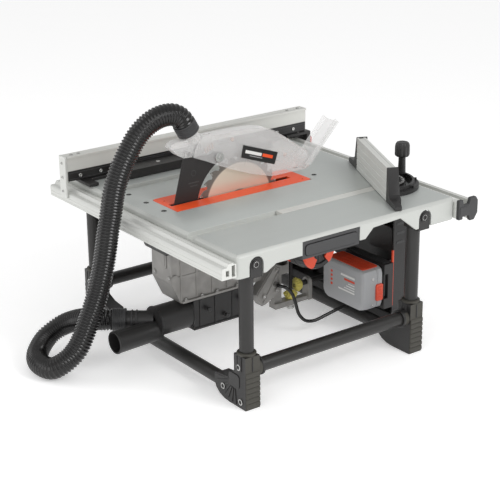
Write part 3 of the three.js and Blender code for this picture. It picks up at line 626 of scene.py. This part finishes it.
def foot_ribs(end, y, sy, side, sx):
    """Treads on a foot's outer side, ribs and screws on its face, and its collars."""
    b = Build()
    for i in range(7):
        outline = [(sx * (FOOT_SIDE + u), -342 + i * 11.2 + v) for u, v in TREAD]
        b.prism("y", outline, y - 17.4, y + 17.4, "foot_rubber")
    face = y + sy * 18
    raised = face + sy * 1.6
    hub = Vector((sx * FOOT_HUB[0], FOOT_HUB[1]))
    for k, reach in enumerate(FOOT_RIBS):
        a = math.radians(-96 + k * 15)
        d = Vector((-sx * math.cos(a), math.sin(a)))
        b.prism("y", strip(hub + d * 20, hub + d * reach, 1.3), face, raised, BLACK)
    b.prism("y", rounded(hub.x - 18, hub.x + 18, hub.y - 16, hub.y + 14, 7), face, raised, BLACK)
    for px, pz in ((290, -255), (236, -316), (296, -330)):
        p = (sx * px, face + sy * 0.6, pz)
        b.washer(p, (0, sy, 0), 4.4, 6.8, 1.8, STEEL)
        b.bolt(p, (0, sy, 0), 4.3, INK, 1.6)
    b.lathe((sx * LEG_X, y - sy * 32, -263), (0, -sy, 0), FOOT_COLLAR, BLACK, 32, loop=True)
    for c, s in circle(10):
        x, flute_y = sx * LEG_X + 20 * c, y + 20 * s
        b.rod((x, flute_y, -262), (x, flute_y, -231), 1.8, BLACK, sides=8)
    b.done(f"foot_ribs_{end}_{side}", "stand", slot="foot_rubber", bevel=0.4)


for end, y in (("rear", LEG_REAR), ("front", LEG_FRONT)):
    leg(end, y, "left", -1)
    leg(end, y, "right", 1)
    soften(f"cross_tube_{end}", 0.6)
soften("side_tube_left", 0.6)
soften("side_tube_right", 0.6)
for end, y, sy in (("rear", LEG_REAR, 1), ("front", LEG_FRONT, -1)):
    foot_ribs(end, y, sy, "left", -1)
    foot_ribs(end, y, sy, "right", 1)


# ---- under the table ----------------------------------------------------------------------------------
for end, y, outward in (("front", -190, FORE), ("rear", 210, AFT)):
    soften(f"trunnion_{end}", 1.0)
    b = Build()
    tab = [(y - 5, -12.5), (y + 14, -12.5), (y + 14, -16), (y + 1, -30), (y - 5, -30)]
    for sx in (-1, 1):
        b.bolt((sx * 80, y + 4.5, -20.6), outward, 4, STEEL, 6.5)
        b.prism("x", tab, sx * 83.5, sx * 86.5, "black_painted_steel")
    b.done(f"trunnion_fixings_{end}", "stand", slot="black_painted_steel", bevel=0.4)

soften("storage_box", 1.5, DARK)
b = Build()
for y in (-120, -80, -40, 0, 40, 80):
    b.prism("x", rounded(y - 14, y + 14, -128, -40, 5), 270, 271.6, DARK)
b.prism("x", [(-30, -100), (60, -100), (96, -84), (104, -66), (96, -62), (84, -80), (56, -90), (-30, -90)],
        232, 240, ORANGE)
b.lathe((250, -60, -120), AFT, [(0, 3), (0.5, 3.6), (120, 3.6), (121, 3)], STEEL, 6)
b.done("push_stick_and_wrench", "stand", slot=ORANGE, bevel=0.8)

# The casing's face: a frame round the switches, screws, louvres and a rating plate.
soften("front_panel", 1.6, BLACK, split=True)
b = Build()


def on_casing(outline, inner, outer, look):
    """A raised shape on the casing's face, from one height above it to another."""
    b.prism("y", outline, CASING_Y - inner, CASING_Y - outer, look)


on_casing(rounded(-174, -94, -170, -102, 5), 6, 7.2, DARK)
for x in (-119, -151):
    on_casing(pill(x, -136, 15.6, 23, 3), 7, 8.6, DARK)
for x, z in ((-178, -60), (178, -60), (-178, -300), (178, -300), (0, -60)):
    b.bolt((x, CASING_Y, z), FORE, 4.4, STEEL, 2.4)
for i in range(8):
    on_casing(pill(-133, -196 - i * 9, 35, 2, 1.9, 3), -0.5, 1.4, DARK)
# The crank's curved slot: lips along both sides, and a scale of 45 degrees inside it.
SLOT_R = math.hypot(SCREW_X, CRANK_Z)
SLOT_START = math.degrees(math.atan2(CRANK_Z, SCREW_X))


def sector(inner, outer, before, after):
    """A curved strip along the crank's slot."""
    first, last = SLOT_START - before, SLOT_START + after
    return arc(0, 0, SLOT_R + outer, first, last, 30) + arc(0, 0, SLOT_R + inner, last, first, 30)


on_casing(sector(-15, -11, 4, 49), -0.5, 1.6, DARK)
on_casing(sector(11, 14, 4, 49), -0.5, 1.6, DARK)
on_casing(sector(-32, -17, 2, 50), -0.3, 0.5, WHITE)
for i, d in enumerate(arc(0, 0, 1, SLOT_START, SLOT_START + 45, 45)):
    tick = 9 if i % 15 == 0 else 6 if i % 5 == 0 else 3.5
    outer = Vector(d) * (SLOT_R - 18)
    on_casing(strip(outer - Vector(d) * tick, outer, 0.45), 0.4, 0.65, INK)
on_casing(rounded(100, 176, -130, -76, 4), -0.5, 1.2, DARK)
on_casing(rounded(104, 172, -96, -92, 1.5, 2), 1, 1.6, RED)
b.box(-190.6, -186.4, -287.4, -283.5, -284, -152, RED)
b.box(-190.5, -189.9, -324, -290, -300, -296, DARK)
for z in (-70, -92, -114, -136):
    b.prism("x", pill(-306, z, 12, 3, 2.9, 3), -190.7, -189.5, DARK)
for x in range(-150, 181, 55):
    if not -45 < x < 0:
        b.box(x - 1.2, x + 1.2, -321.9, -312, -305.9, -230 if x > -60 else -300, BLACK)
b.done("casing_details", "stand", bevel=0.35)

for node, x, half_x, half_z, r in (("switch_on", -151, 8.5, 15.5, 4), ("switch_off", -119, 9.5, 16.5, 5)):
    b = Build()
    on_casing(pill(x, -136, 11.5, 18.5, 4), -3, 8, SLOT_OF[node])
    on_casing(pill(x, -136, half_x, half_z, r), 8, 10, SLOT_OF[node])
    if node == "switch_on":
        b.box(x - 1, x + 1, -336.2, -335.9, -143, -129, WHITE)
    else:
        b.lathe((x, -336, -136), FORE, [(0, 4.2), (0, 6), (0.2, 6), (0.2, 4.2)], WHITE, loop=True)
    b.done("fine_" + node, BODY_OF[node], [node], bevel=0.8)

b = Build().prism("y", pill(-135, -136, 37, 30, 6), -316, -296, BLACK)
b.done("switch_housing", "stand", bevel=0.8)
b = Build().prism("y", rounded(-178, 178, -331, -308, 5), -318, -290, BLACK)
b.done("casing_lip", "stand", bevel=1.2)


# ---- battery ------------------------------------------------------------------------------------------
soften("battery_dock", 1.2, BLACK)
b = Build()
b.prism("y", rounded(BX0, -62, -284, BZ1, 8), -259.6, -258.8, DARK)
for x in (-180, -74):
    b.bolt((x, -285.5, -180.5), UP, 3.4, STEEL, 1.5)
b.box(-184, -70, -283, -262, -180, -178.4, DARK)
b.done("dock_details", "stand", bevel=0.5)

BATTERY_OUTLINE = [
    (BX0 + 1.5, BZ1 - 14), (BX0 + 5, BZ1 - 5), (BX0 + 14, BZ1 - 1), (BX1 - 12, BZ1 - 1), (BX1 - 3, BZ1 - 5),
    (BX1, BZ1 - 14), (BX1, BZ0 + 16), (BX1 - 5, BZ0 + 5), (BX1 - 16, BZ0), (BX0 + 16, BZ0),
    (BX0 + 5, BZ0 + 5), (BX0 + 1.5, BZ0 + 16),
]


def battery_ring(y, inset):
    """The battery's outline at one depth, drawn in towards its middle."""
    mid_x, mid_z = (BX0 + BX1) / 2, (BZ0 + BZ1) / 2
    return [(x + (inset if x < mid_x else -inset), y, z + (inset if z < mid_z else -inset))
            for x, z in BATTERY_OUTLINE]


def on_battery(outline, inner, outer, look):
    """A raised shape on the battery's rear face."""
    b.prism("y", outline, BY1 + inner, BY1 + outer, look)


b = Build()
insets = [(BY0, 3), (BY0 + 3, 0), (-243, 0), (-242, 1.2), (-240, 1.2), (-239, 0), (-212, 0), (BY1 - 4, 1.6),
          (BY1 - 1, 4.5), (BY1, 7)]
b.shell([battery_ring(y, inset) for y, inset in insets], "grey_plastic")
b.box(BX0 + 4.2, -73.2, -268.2, -257, -258.8, -207.2, DARK)
b.prism("z", rounded(BX0 + 12, BX1 - 12, -252, -207, 5), BZ1 - 1.6, BZ1, RED)
for x0, x1 in ((-172, -128), (-118, -84)):
    for y in (-244, -232, -220):
        b.prism("z", rounded(x0, x1, y, y + 7, 2.5), BZ1 - 0.6, BZ1 + 0.7, RED)
for x in (-184, -52):
    on_battery(pill(x, -235, 3, 35, 2.6), -4.5, -2.6, "grey_plastic")
on_battery(rounded(-164, -70, -252, -204, 4), -0.6, 0.3, "grey_plastic")
for x, z0, z1, look in ((-112, -213, -208, WHITE), (-124, -222, -217, RED), (-104, -248, -244, WHITE)):
    on_battery(rounded(-160, x, z0, z1, 1.5), 0.2, 0.6, look)
for k in range(3):
    on_battery(rounded(-160, -138 + k * 7, -229 - k * 6, -226.5 - k * 6, 1), 0.2, 0.6, WHITE)
for k in range(4):
    on_battery(rounded(-84, -77, -246 + k * 10, -240 + k * 10, 2), 0.2, 0.6, RED)
for z in (-208, -270):
    b.lathe((BX0 + 1.6, -228, z), LEFT, [(0, 3.4), (0.8, 3.4), (1.2, 2.9), (1.2, 1.8), (0.5, 1.6)],
            STEEL, 18)
b.done("fine_battery_pack", "battery", ["battery_pack"], bevel=0.6)
b = Build()
b.prism("x", pill(-246, -242, 9.6, 19.6, 4), BX0 - 2.4, BX0 + 3.4, RED)
for z in (-254, -246, -238, -230):
    b.prism("x", pill(-246, z, 6.5, 1.4, 1.2, 2), BX0 - 3.5, BX0 - 2.3, RED)
b.done("fine_battery_button", "battery_latch", ["battery_button"], bevel=0.5)


# ---- tilting assembly ---------------------------------------------------------------------------------
# The housing: a raised pad on its rear end, ribs and bosses on its left side.
HOUSING_REAR = 205
soften("blade_housing", 1.0, CAST)
b = Build()
b.prism("y", pill(0, -108, 20, 24, 7), HOUSING_REAR, HOUSING_REAR + 1.6, CAST)
b.prism("y", pill(0, -108, 15, 19, 5), HOUSING_REAR + 1.4, HOUSING_REAR + 2.4, CAST)
for x, z in ((-28, -66), (28, -66), (-28, -150), (28, -150)):
    b.washer((x, HOUSING_REAR, z), AFT, 2.6, 6, 1.4, CAST)
    b.bolt((x, HOUSING_REAR, z), AFT, 3, STEEL, 2)
for y in (60, 100, 140, 180):
    b.box(-36.8, -34.8, y - 1.6, y + 1.6, -204, -62, CAST)
for z in (-100, -150):
    b.box(-36.4, -34.8, 30, 198, z - 1.5, z + 1.5, CAST)
for y in (34, 88, 128, 170):
    b.lathe((-38.4, y, -206.2), UP, [(0, 4.6), (3.6, 4.6), (4.4, 3.8)], CAST, 18)
    b.bolt((-38.4, y, -201.8), UP, 3.1, STEEL, 2)
for y, z in ((-70, -192), (-34, -246), (-70, -240)):
    b.washer((-46, y, z), LEFT, 2.7, 6.6, 2.2, CAST)
    b.bolt((-46.4, y, z), LEFT, 3.2, STEEL, 2)
for start, end in (((-78, -188), (-30, -262)), ((-64, -180), (-14, -240)), ((-80, -232), (-66, -182))):
    b.prism("x", strip(start, end, 1.4), -48.2, -45.8, CAST)
b.washer((-52, -66, -224), (1, 0, 0), 4.1, 6.8, 5, BLACK)
b.done("housing_ribs", "tilt_frame", slot=CAST, bevel=0.4)

# The shroud: pegs on its left side, ribs down both sides and a band along its foot.
soften("dust_shroud", 1.2, BLACK)
b = Build()
for y, z in ((118, -236), (70, -262), (30, -232)):
    b.lathe((-40.2, y, z), LEFT, [(0, 5), (2, 5), (2.6, 3), (8, 3), (8.6, 5.4), (11, 5.4), (12, 4)],
            BLACK, 18)
for y in (20, 50, 96, 136):
    for x in (-41.6, 39.8):
        b.box(x, x + 1.8, y - 1.4, y + 1.4, -278, -214, BLACK)
b.box(-42.4, 42.4, 4, 150, -279, -275, BLACK)
for x in (-30, 14):
    b.box(x, x + 14, 151.6, 158, -221, -213, BLACK)
b.done("shroud_details", "tilt_frame", bevel=0.5)

soften("dust_port", 0.9, BLACK)
b = Build()
lip = [(0, 23.6), (0, 24.5), (0.8, 25.1), (3.6, 25.1), (4.4, 24.5), (4.4, 21.4), (0.6, 21.4)]
b.lathe(along(*OUTLET, 106), direction(*OUTLET), lip, BLACK, 48, loop=True)
for y in (153, 234):
    b.washer((PORT_X, y, PORT_Z), AFT, 32, 34.6, 3.4, BLACK)
band = [(0, 19.6), (0, 21.2), (0.8, 21.8), (3, 21.8), (3.6, 21.2), (3.6, 19.6)]
for t in (34, 44):
    b.lathe(along(*BRANCH, t), direction(*BRANCH), band, DARK, 36, loop=True)
b.done("port_rings", "tilt_frame", bevel=0.3)


def ribbed_cuff(name, node, body, line, t0, t1, bore):
    """A moulded cuff: a plain tapered sleeve with a rolled lip and grip ribs near the hose."""
    profile = [(t0, bore), (t0, 24.0), (t0 + 1, 24.9), (t0 + 4, 24.9), (t0 + 5, 23.9)]
    t = t0 + 9
    while t < t1 - 4:
        profile += [(t, 24.0), (t + 0.6, 24.8), (t + 2.2, 24.8), (t + 2.8, 24.0)]
        t += 4.4
    profile += [(t1 - 1.2, 24.8), (t1, 24.2), (t1, bore)]
    b = Build().lathe(line[0], direction(*line), profile, DARK, 44, loop=True)
    b.done(name, body, [node])


ribbed_cuff("ribbed_cuff_port", "hose_cuff_port", "tilt_frame", BRANCH, 58, 88, 20.4)
ribbed_cuff("ribbed_cuff_guard", "hose_cuff_guard", "carriage", SPOUT, 24.5, 50, 17.4)

# The lift screw: its grooves, the nut under it and the collar at its top.
GROOVE_STEP = 2.6
b = Build()
profile = [(0, 4.2), (0.5, 5.0)]
t = 2.0
while t < 236:
    profile += [(t, 4.9), (t + 0.7, 4.1), (t + 1.3, 4.1), (t + 2.0, 4.9)]
    t += GROOVE_STEP
profile.append((237, 4.4))
b.lathe((SCREW_X, SCREW_Y, -296), UP, profile, "knife_steel", 18)
b.lathe((SCREW_X, SCREW_Y, -303), UP, [(0, 7.6), (1, 9), (5.6, 9), (6.6, 7.6), (12.7, 7.2), (12.7, 5)],
        STEEL, 6)
b.lathe((SCREW_X, SCREW_Y, -61.6), UP, [(0, 8), (2.6, 8), (3.6, 6.8)], STEEL, 20)
b.done("threaded_lift_screw", "screw", ["lift_screw"])


TEETH = 14  # of each bevel gear


def bevel_gear(name, node, body, start, axis, hub, phase):
    """A yellow bevel gear: a grooved hub and a cone with straight teeth, bored for its shaft."""
    b = Build()
    d = Vector(axis)
    q = Vector(UP).rotation_difference(d)

    def star(t, r_out, r_in):
        corners = [polar(0, 0, r, 360 * (i + f + phase) / TEETH) for i in range(TEETH)
                   for f, r in ((0.0, r_in), (0.28, r_out), (0.62, r_out), (0.9, r_in))]
        return [Vector(start) + d * t + q @ Vector((u, v, 0)) for u, v in corners]

    yellow = "yellow_gear_plastic"
    b.shell([star(hub, 16.6, 14.6), star(hub + 1.4, 16.9, 14.2), star(hub + 8.4, 8.6, 7.0)], yellow)
    profile = [(0, 5.5), (0, 11.5), (0.8, 12.4), (3, 12.4), (3.5, 11), (4.5, 11), (5, 14.5), (hub, 14.8),
               (hub, 5.5)]
    b.lathe(start, d, profile, yellow, 28, loop=True)
    b.done(name, body, [node], bevel=0.3)


bevel_gear("toothed_screw_gear", "screw_gear", "screw", (SCREW_X, SCREW_Y, -276.5), UP, 9.4, 0.0)
bevel_gear("toothed_crank_gear", "crank_gear", "crank", (SCREW_X, SCREW_Y - 26.8, CRANK_Z), AFT, 8.2, 0.5)
soften("crank_shaft", 0.8)

# The handwheel: a fluted rim, a hub with a red cap, three spokes and the pin of its grip.
b = Build()
rim = []
for i, (c, s) in enumerate(circle(72)):
    r = 5.7 + 0.7 * max(0.0, math.cos(math.pi * i / 4))
    rim.append([(SCREW_X + (WHEEL_R + r * u) * c, WHEEL_Y + r * v, CRANK_Z + (WHEEL_R + r * u) * s)
                for u, v in circle(14)])
b.shell(rim, BLACK, loop=True)
profile = [(0, 6.4), (0, 14), (1.5, 15), (18, 15), (22, 18), (26, 18), (29, 15.5), (30, 11), (28.6, 9),
           (28.6, 6.4)]
b.lathe((SCREW_X, WHEEL_Y + 22, CRANK_Z), FORE, profile, BLACK, 36, loop=True)
b.lathe((SCREW_X, WHEEL_Y - 6, CRANK_Z), FORE, [(0, 8.6), (2.4, 8.6), (3.6, 7.2)], "red_plastic", 28)
for x, z in arc(0, 0, 1, 90, 330, 2):
    d = Vector((x, 0, z))
    n = Vector((-z, 0, x))
    spoke = []
    for t, w, h in ((12, 7.5, 5), (24, 5.5, 4), (40, 4.6, 3.6), (WHEEL_R - 2, 6.4, 4.6)):
        p = Vector((SCREW_X, WHEEL_Y, CRANK_Z)) + d * t
        spoke.append([p + n * (w * u) + Vector((0, h * v, 0)) for u, v in circle(10)])
    b.shell(spoke, BLACK)
GRIP_Z = CRANK_Z + WHEEL_R
b.rod((SCREW_X, WHEEL_Y + 1, GRIP_Z), (SCREW_X, WHEEL_Y - 40, GRIP_Z), 3, STEEL)
b.done("fine_handwheel", "crank", ["handwheel"])
b = Build()
profile = [(0, 3.4), (0, 7), (1.2, 8), (10, 9.2), (22, 9.4), (32, 8.6), (36, 6.6), (38.2, 3.6), (38.4, 1)]
b.lathe((SCREW_X, WHEEL_Y - 7.5, GRIP_Z), FORE, profile, DARK, 32)
for c, s in circle(10):
    x, z = SCREW_X + 9 * c, GRIP_Z + 9 * s
    b.rod((x, WHEEL_Y - 17, z), (x, WHEEL_Y - 37, z), 0.8, DARK, sides=8)
b.done("fine_grip", "crank_grip", ["handwheel_grip"])
soften("bevel_lock_lever", 1.6, "red_plastic")
b = Build()
b.washer((SCREW_X, -341, CRANK_Z), FORE, 7, 11.5, 1.2, DARK)
for k in range(4):
    p = Vector((SCREW_X + 32 + k * 7, -341.2, CRANK_Z + 26 + k * 6.4))
    b.rod(p + Vector((-4, 0, 4.4)), p + Vector((4, 0, -4.4)), 1.0, "red_plastic", sides=8)
b.done("lever_ribs", "bevel_lever", slot="red_plastic")


# ---- carriage, motor, blade and knife -----------------------------------------------------------------
soften("arbor_carriage", 1.0, CAST)
b = Build()
for y, z in ((4, -30), (4, -60), (-24, -112), (-56, -138), (-98, -118), (-98, -84), (-60, -34)):
    b.washer((-64, y, z), LEFT, 2.7, 6.2, 1.6, CAST)
    b.bolt((-64.4, y, z), LEFT, 3.1, STEEL, 1.8)
for z in (-50, -64):
    b.bolt((-17, 126, z), LEFT, 4.2, STEEL, 2.6)
b.done("gearbox_screws", "carriage", slot=CAST, bevel=0.3)


b = Build()
profile = [(0, 44), (0, 46), (2, 48), (8, 48), (9, 46.4)]
for t in range(12, 75, 7):
    profile += [(t, 46.4), (t + 1, 47.8), (t + 4, 47.8), (t + 5, 46.4)]
profile += [(78, 46.4), (79, 48), (104, 48), (106, 46), (108, 46.6), (112, 45.4), (134, 42.5), (139, 39.5),
            (140.6, 34), (139.4, 30), (136, 29), (136, 10), (138.5, 8), (138.5, 1)]
b.lathe((MOTOR_X, MOTOR_Y, MOTOR_Z), LEFT, profile, BLACK, 56)
for c, s in circle(28):
    d = Vector((0, c, s))
    n = Vector((0, -s, c)) * 1.2
    ends = [Vector((MOTOR_X - t, MOTOR_Y, MOTOR_Z)) + d * r for t, r in ((113, 44.6), (132, 42.2))]
    b.shell([[p - n, p + n, p + n + d * 1.2, p - n + d * 1.2] for p in ends], DARK)
for c, s in circle(12):
    d = Vector((0, c, s))
    p = Vector((MOTOR_X - 136.2, MOTOR_Y, MOTOR_Z))
    b.rod(p + d * 9, p + d * 29.5, 1.3, DARK, sides=8)
rows = []
for x in (-150, -100):
    outer = [(48.2, t) for t in range(-42, 22, 6)] + [(49.2, t) for t in range(18, -48, -6)]
    rows.append([(x, *polar(MOTOR_Y, MOTOR_Z, r, t)) for r, t in outer])
b.shell(rows, RED)
rim = [(134.2, 43.2), (139.6, 40.4), (141.3, 34.4), (141.3, 20), (137.5, 20), (137.5, 38), (134, 41)]
for first, last in ((-194, -128), (-64, -10)):
    rows = [[(MOTOR_X - t, MOTOR_Y + r * y, MOTOR_Z + r * z) for t, r in rim]
            for y, z in arc(0, 0, 1, first, last, 10)]
    b.shell(rows, RED)
b.done("fine_motor", "carriage", ["motor"])

soften("riving_knife", 0.5, "knife_steel")
b = Build()
for sx in (-1, 1):
    b.washer((sx * 1.2, 118, 60), (sx, 0, 0), 5.2, 6.4, 0.15, DARK)
    b.prism("x", rounded(104, 132, 38, 41, 1.4, 2), sx * 1.2, sx * 1.35, DARK)
    b.prism("x", rounded(108, 128, 31, 33.4, 1.1, 2), sx * 1.2, sx * 1.35, DARK)
b.done("knife_marks", "carriage", slot="black_painted_steel")


# One tooth of the blade as (degrees back from its tip, depth below it), and the slot cut at some of them.
TOOTH = [(0, 0), (2.4, 1.6), (7.2, 5.6), (9.4, 9.6), (10.8, 12.6)]
RIM_SLOT = [(11.5, 13.2), (11.7, 26), (12.9, 27.5), (12.5, 26), (12.3, 13.4)]
GULLET = [(13.1, 12.2), (14.2, 9.4), (14.5, 6.2)]


def blade_outline():
    """Twenty-four hooked teeth that lean towards the operator at the top, with four slots in the rim."""
    points = []
    for i in range(24):
        shape = TOOTH + (RIM_SLOT if i % 6 == 0 else []) + GULLET
        points += [polar(0, BLADE_Z, BLADE_R - depth, 180 + i * 15 + back) for back, depth in shape]
    return points


b = Build()
b.prism("x", blade_outline(), -1.1, 1.1, "blade_steel")
for c, s in circle(24):
    d = Vector((-c, -s))
    n = Vector((-s, c))
    tip = [Vector((0, BLADE_Z)) + d * (BLADE_R - depth) + n * back
           for depth, back in ((7.0, 0.4), (0.05, 0.9), (0.9, -2.2), (6.0, -2.2))]
    b.prism("x", tip, -1.45, 1.45, "carbide")
b.done("toothed_blade", "blade", ["saw_blade"])
soften("arbor_nut", 0.6, STEEL)


# ---- blade guard --------------------------------------------------------------------------------------
soften("guard_hood", 0.7, "clear_plastic", split=True)
soften("guard_spout", 0.8)
soften("guard_pivot", 0.6, STEEL)
b = Build()
PLATE_START = Vector((-5, 102))
PLATE_RUN = Vector((-93, -33)).normalized()
PLATE_DROP = Vector((-PLATE_RUN.y, PLATE_RUN.x))
for sx in (-1, 1):
    b.prism("x", [(-5, 102), (-98, 69), (-89, 43), (1, 75)], sx * 12.05, sx * 12.9, INK)
    for u0, u1, v0, v1, look in ((10, 56, 9, 16, WHITE), (59, 88, 9, 16, ORANGE),
                                 (24, 60, 19, 20.5, "grey_plastic")):
        corners = (u0, v0), (u1, v0), (u1, v1), (u0, v1)
        bar = [PLATE_START + PLATE_RUN * u + PLATE_DROP * v for u, v in corners]
        b.prism("x", bar, sx * 12.9, sx * 13.05, look)
b.done("guard_plates", "guard")
b = Build()
for sx in (-1, 1):
    for y, z in ((-118, 60), (24, 120)):
        boss = [(0, 4.4), (0.8, 4.4), (1.4, 3.6), (1.8, 1.6)]
        b.lathe((sx * HOOD_X, y, z), (sx, 0, 0), boss, "clear_pink", 20)
    for k in range(4):
        y = 74 + k * 6
        b.rod((sx * HOOD_X, y, 108 - k * 2), (sx * HOOD_X, y + 3, 122 - k * 3), 1.1, "clear_pink", sides=8)
b.done("guard_bosses", "guard", slot=SLOT_OF["guard_hood"])
b = Build()
for sx in (-1, 1):
    b.bolt((sx * 15.2, PIVOT_Y, PIVOT_Z), (sx, 0, 0), 4.6, STEEL, 1.0)
b.done("pivot_screws", "guard_link")


# ---- rip fence ----------------------------------------------------------------------------------------
b = Build()
fence = [(253, 8), (253, 60), (250, 60), (250, 65), (260, 65), (261, 64.4), (263, 64.4), (264, 65), (268, 65),
         (269, 64.4), (271, 64.4), (272, 65), (277, 65), (277, 60), (274, 60), (274, 50), (273.2, 49),
         (273.2, 47), (274, 46), (274, 26), (272.8, 25.4), (272.8, 12.6), (274, 12), (274, 8)]
b.prism("y", fence, -390, 280, "extruded_y")
b.prism("x", rounded(-388, 278, 8.4, 31, 1.5, 2), 251.8, 254.4, INK)
b.box(248.8, 253, -250, 168, 14, 24, BLACK)
for y in (-246, -41, 160):
    b.rod((250.9, y - 12, 19), (250.9, y + 12, 19), 2.1, DARK, sides=14)
for y in (196, 248, -300, -350):
    b.bolt((251.8, y, 19), LEFT, 4.4, STEEL, 2.4)
for z in (12.4, 26.4):
    b.prism("x", pill(-55, z, 331, 0.8, 0.6, 2), 251.2, 252.2, DARK)
for y in (-372, -340, 244, 262):
    b.bolt((263.5, y, 65), UP, 3.8, STEEL, 1.6)
b.lathe((251.9, 48.5, 15.8), LEFT, [(0, 8.6), (0.4, 9.2), (1.6, 9.2), (2.2, 8)], INK, 28)
b.bolt((249.7, 48.5, 15.8), LEFT, 4.2, STEEL, 0.9)
b.done("fine_rip_fence", "fence", ["rip_fence"], bevel=0.35)
for node, bevel in (("fence_end_plate", 1.2), ("fence_glide", 0.5), ("aux_fence", 0.6), ("fence_clamp", 0.9)):
    soften(node, bevel)
soften("fence_lever", 1.4, split=True)
b = Build()
for z in (50, 18, -14):
    b.bolt((263.5, 286, z), AFT, 3.2, STEEL, 1.8)
for x in (252, 288):
    b.bolt((x, -366, 7.5), UP, 2.8, STEEL, 1.4)
for z in (-14, -34):
    for x in (250.5, 289.5):
        b.bolt((x, -400, z), FORE, 2.6, STEEL, 1.2)
b.done("fence_screws", "fence", slot=STEEL)
b = Build()
for k in range(6):
    z = -40 - k * 6
    y = -414.2 + k * 0.3
    b.rod((258, y, z), (282, y, z), 0.9, DARK, sides=8)
b.done("lever_grip", "fence_latch", slot=SLOT_OF["fence_lever"])
b = Build()
for y in (-236, -140, -41, 60, 156):
    b.washer((226, y, 21), UP, 2.2, 4.6, 0.4, "extruded_y")
    b.bolt((226, y, 21), UP, 2.4, STEEL, 0.8)
b.done("aux_fence_screws", "aux", slot=SLOT_OF["aux_fence"])


# ---- mitre gauge --------------------------------------------------------------------------------------
HEAD = Matrix.Translation((GAUGE_X, GAUGE_Y, 0)) @ Matrix.Rotation(GAUGE_ANGLE, 4, "Z")
soften("mitre_bar", 0.4, "extruded_y")
soften("mitre_head", 0.9)
b = Build(HEAD)
for k in range(-13, 14):
    inner = 42 if k % 3 == 0 else 45
    mark = strip(polar(0, 0, inner, 270 + k * 5), polar(0, 0, 49, 270 + k * 5), 0.35)
    b.prism("z", mark, 15.02, 15.22, WHITE)
for x in (-92, -52, 62, 108):
    b.washer((x, -6, 8.6), FORE, 2.4, 5.4, 0.8, STEEL)
    b.bolt((x, -6.6, 8.6), FORE, 3.4, STEEL, 2.4)
for degrees in (225, 268, 312):
    x, y = polar(0, 0, 76, degrees)
    b.rod((x, y, 8.6), (x, y, 15), 2.6, INK, sides=14)
b.prism("z", arc(0, 0, 78.6, 190, 350, 40) + arc(0, 0, 74, 350, 190, 40), 8.8, 9.6, BLACK)
b.done("mitre_scale", "gauge_head")
b = Build(HEAD)
profile = [(2.3, 1.5), (22.2, 1.5)]
for z in (12, 26, 41, 57):
    profile += [(22.2, z), (21.4, z + 0.6), (21.4, z + 2), (22.2, z + 2.6)]
profile += [(22.2, 75), (18, 75), (18, 73.6), (8, 73.6), (8, 75), (2.3, 75), (2.3, 47),
            (5.2, 47), (5.2, 52), (8.7, 52), (8.7, 34), (5.2, 34), (5.2, 39), (2.3, 39)]
b.prism("x", profile, -105.3, 124.7, "extruded_x")
b.done("fine_mitre_face", "gauge_head", ["mitre_face"], bevel=0.35)

# The gauge's knob: a stem under a cap with ten flutes.
b = Build()
profile = [(0.9, 1), (0.9, 3.4), (17.5, 3.4), (17.5, 7.6), (18.4, 8.6), (24, 8.6), (54, 7.8), (57, 8.6),
           (58, 12), (58, 1)]
b.lathe((GAUGE_X, KNOB_Y, 0), UP, profile, BLACK, 36)
rings = []
for z, r, depth in ((57.4, 13.4, 0.4), (59, 15.6, 1.1), (62, 16.6, 1.5), (80, 16.4, 1.5), (86, 15.2, 1.1),
                    (88.8, 13, 0.5), (89.9, 9, 0), (89.3, 7, 0), (89.1, 1, 0)):
    cut = [r - depth * (0.5 + 0.5 * math.cos(math.pi * k / 4)) for k in range(80)]
    rings.append([(GAUGE_X + q * c, KNOB_Y + q * s, z) for q, (c, s) in zip(cut, circle(80))])
b.shell(rings, BLACK)
b.done("fine_mitre_knob", "gauge_knob", ["mitre_knob"])


# ---- floor and light ----------------------------------------------------------------------------------
def floor():
    mat = bpy.data.materials.new("studio_floor")
    mat.use_nodes = True
    shader = mat.node_tree.nodes["Principled BSDF"]
    shader.inputs["Base Color"].default_value = linear((250, 250, 250)) + [1]
    shader.inputs["Roughness"].default_value = 0.9
    shader.inputs["Emission Color"].default_value = (1, 1, 1, 1)
    shader.inputs["Emission Strength"].default_value = 0.32
    mesh = bpy.data.meshes.new("floor")
    mesh.from_pydata([(-14, -14, 0), (14, -14, 0), (14, 14, 0), (-14, 14, 0)], [], [(0, 1, 2, 3)])
    mesh.materials.append(mat)
    obj = add_object("floor", mesh)


def lamp(name, place, size, watts):
    """A disc light aimed at the middle of the saw."""
    data = bpy.data.lights.new(name, "AREA")
    data.shape = "DISK"
    data.size = size
    data.energy = watts
    obj = add_object(name, data)
    obj.location = place
    obj.rotation_mode = "QUATERNION"
    obj.rotation_quaternion = (Vector((0, 0, 0.3)) - Vector(place)).to_track_quat("-Z", "Y")


def world(strength):
    w = bpy.data.worlds.new("studio")
    w.use_nodes = True
    back = w.node_tree.nodes["Background"]
    back.inputs["Color"].default_value = (1, 1, 1, 1)
    back.inputs["Strength"].default_value = strength
    bpy.context.scene.world = w


floor()
world(0.62)
lamp("key", (-2.2, -0.5, 1.9), 1.2, 28)
lamp("fill", (-1.2, 2.3, 1.1), 1.8, 12)
lamp("rear", (1.6, 1.9, 1.5), 1.4, 8)
bpy.context.scene.view_settings.view_transform = "Standard"
bpy.context.view_layer.update()
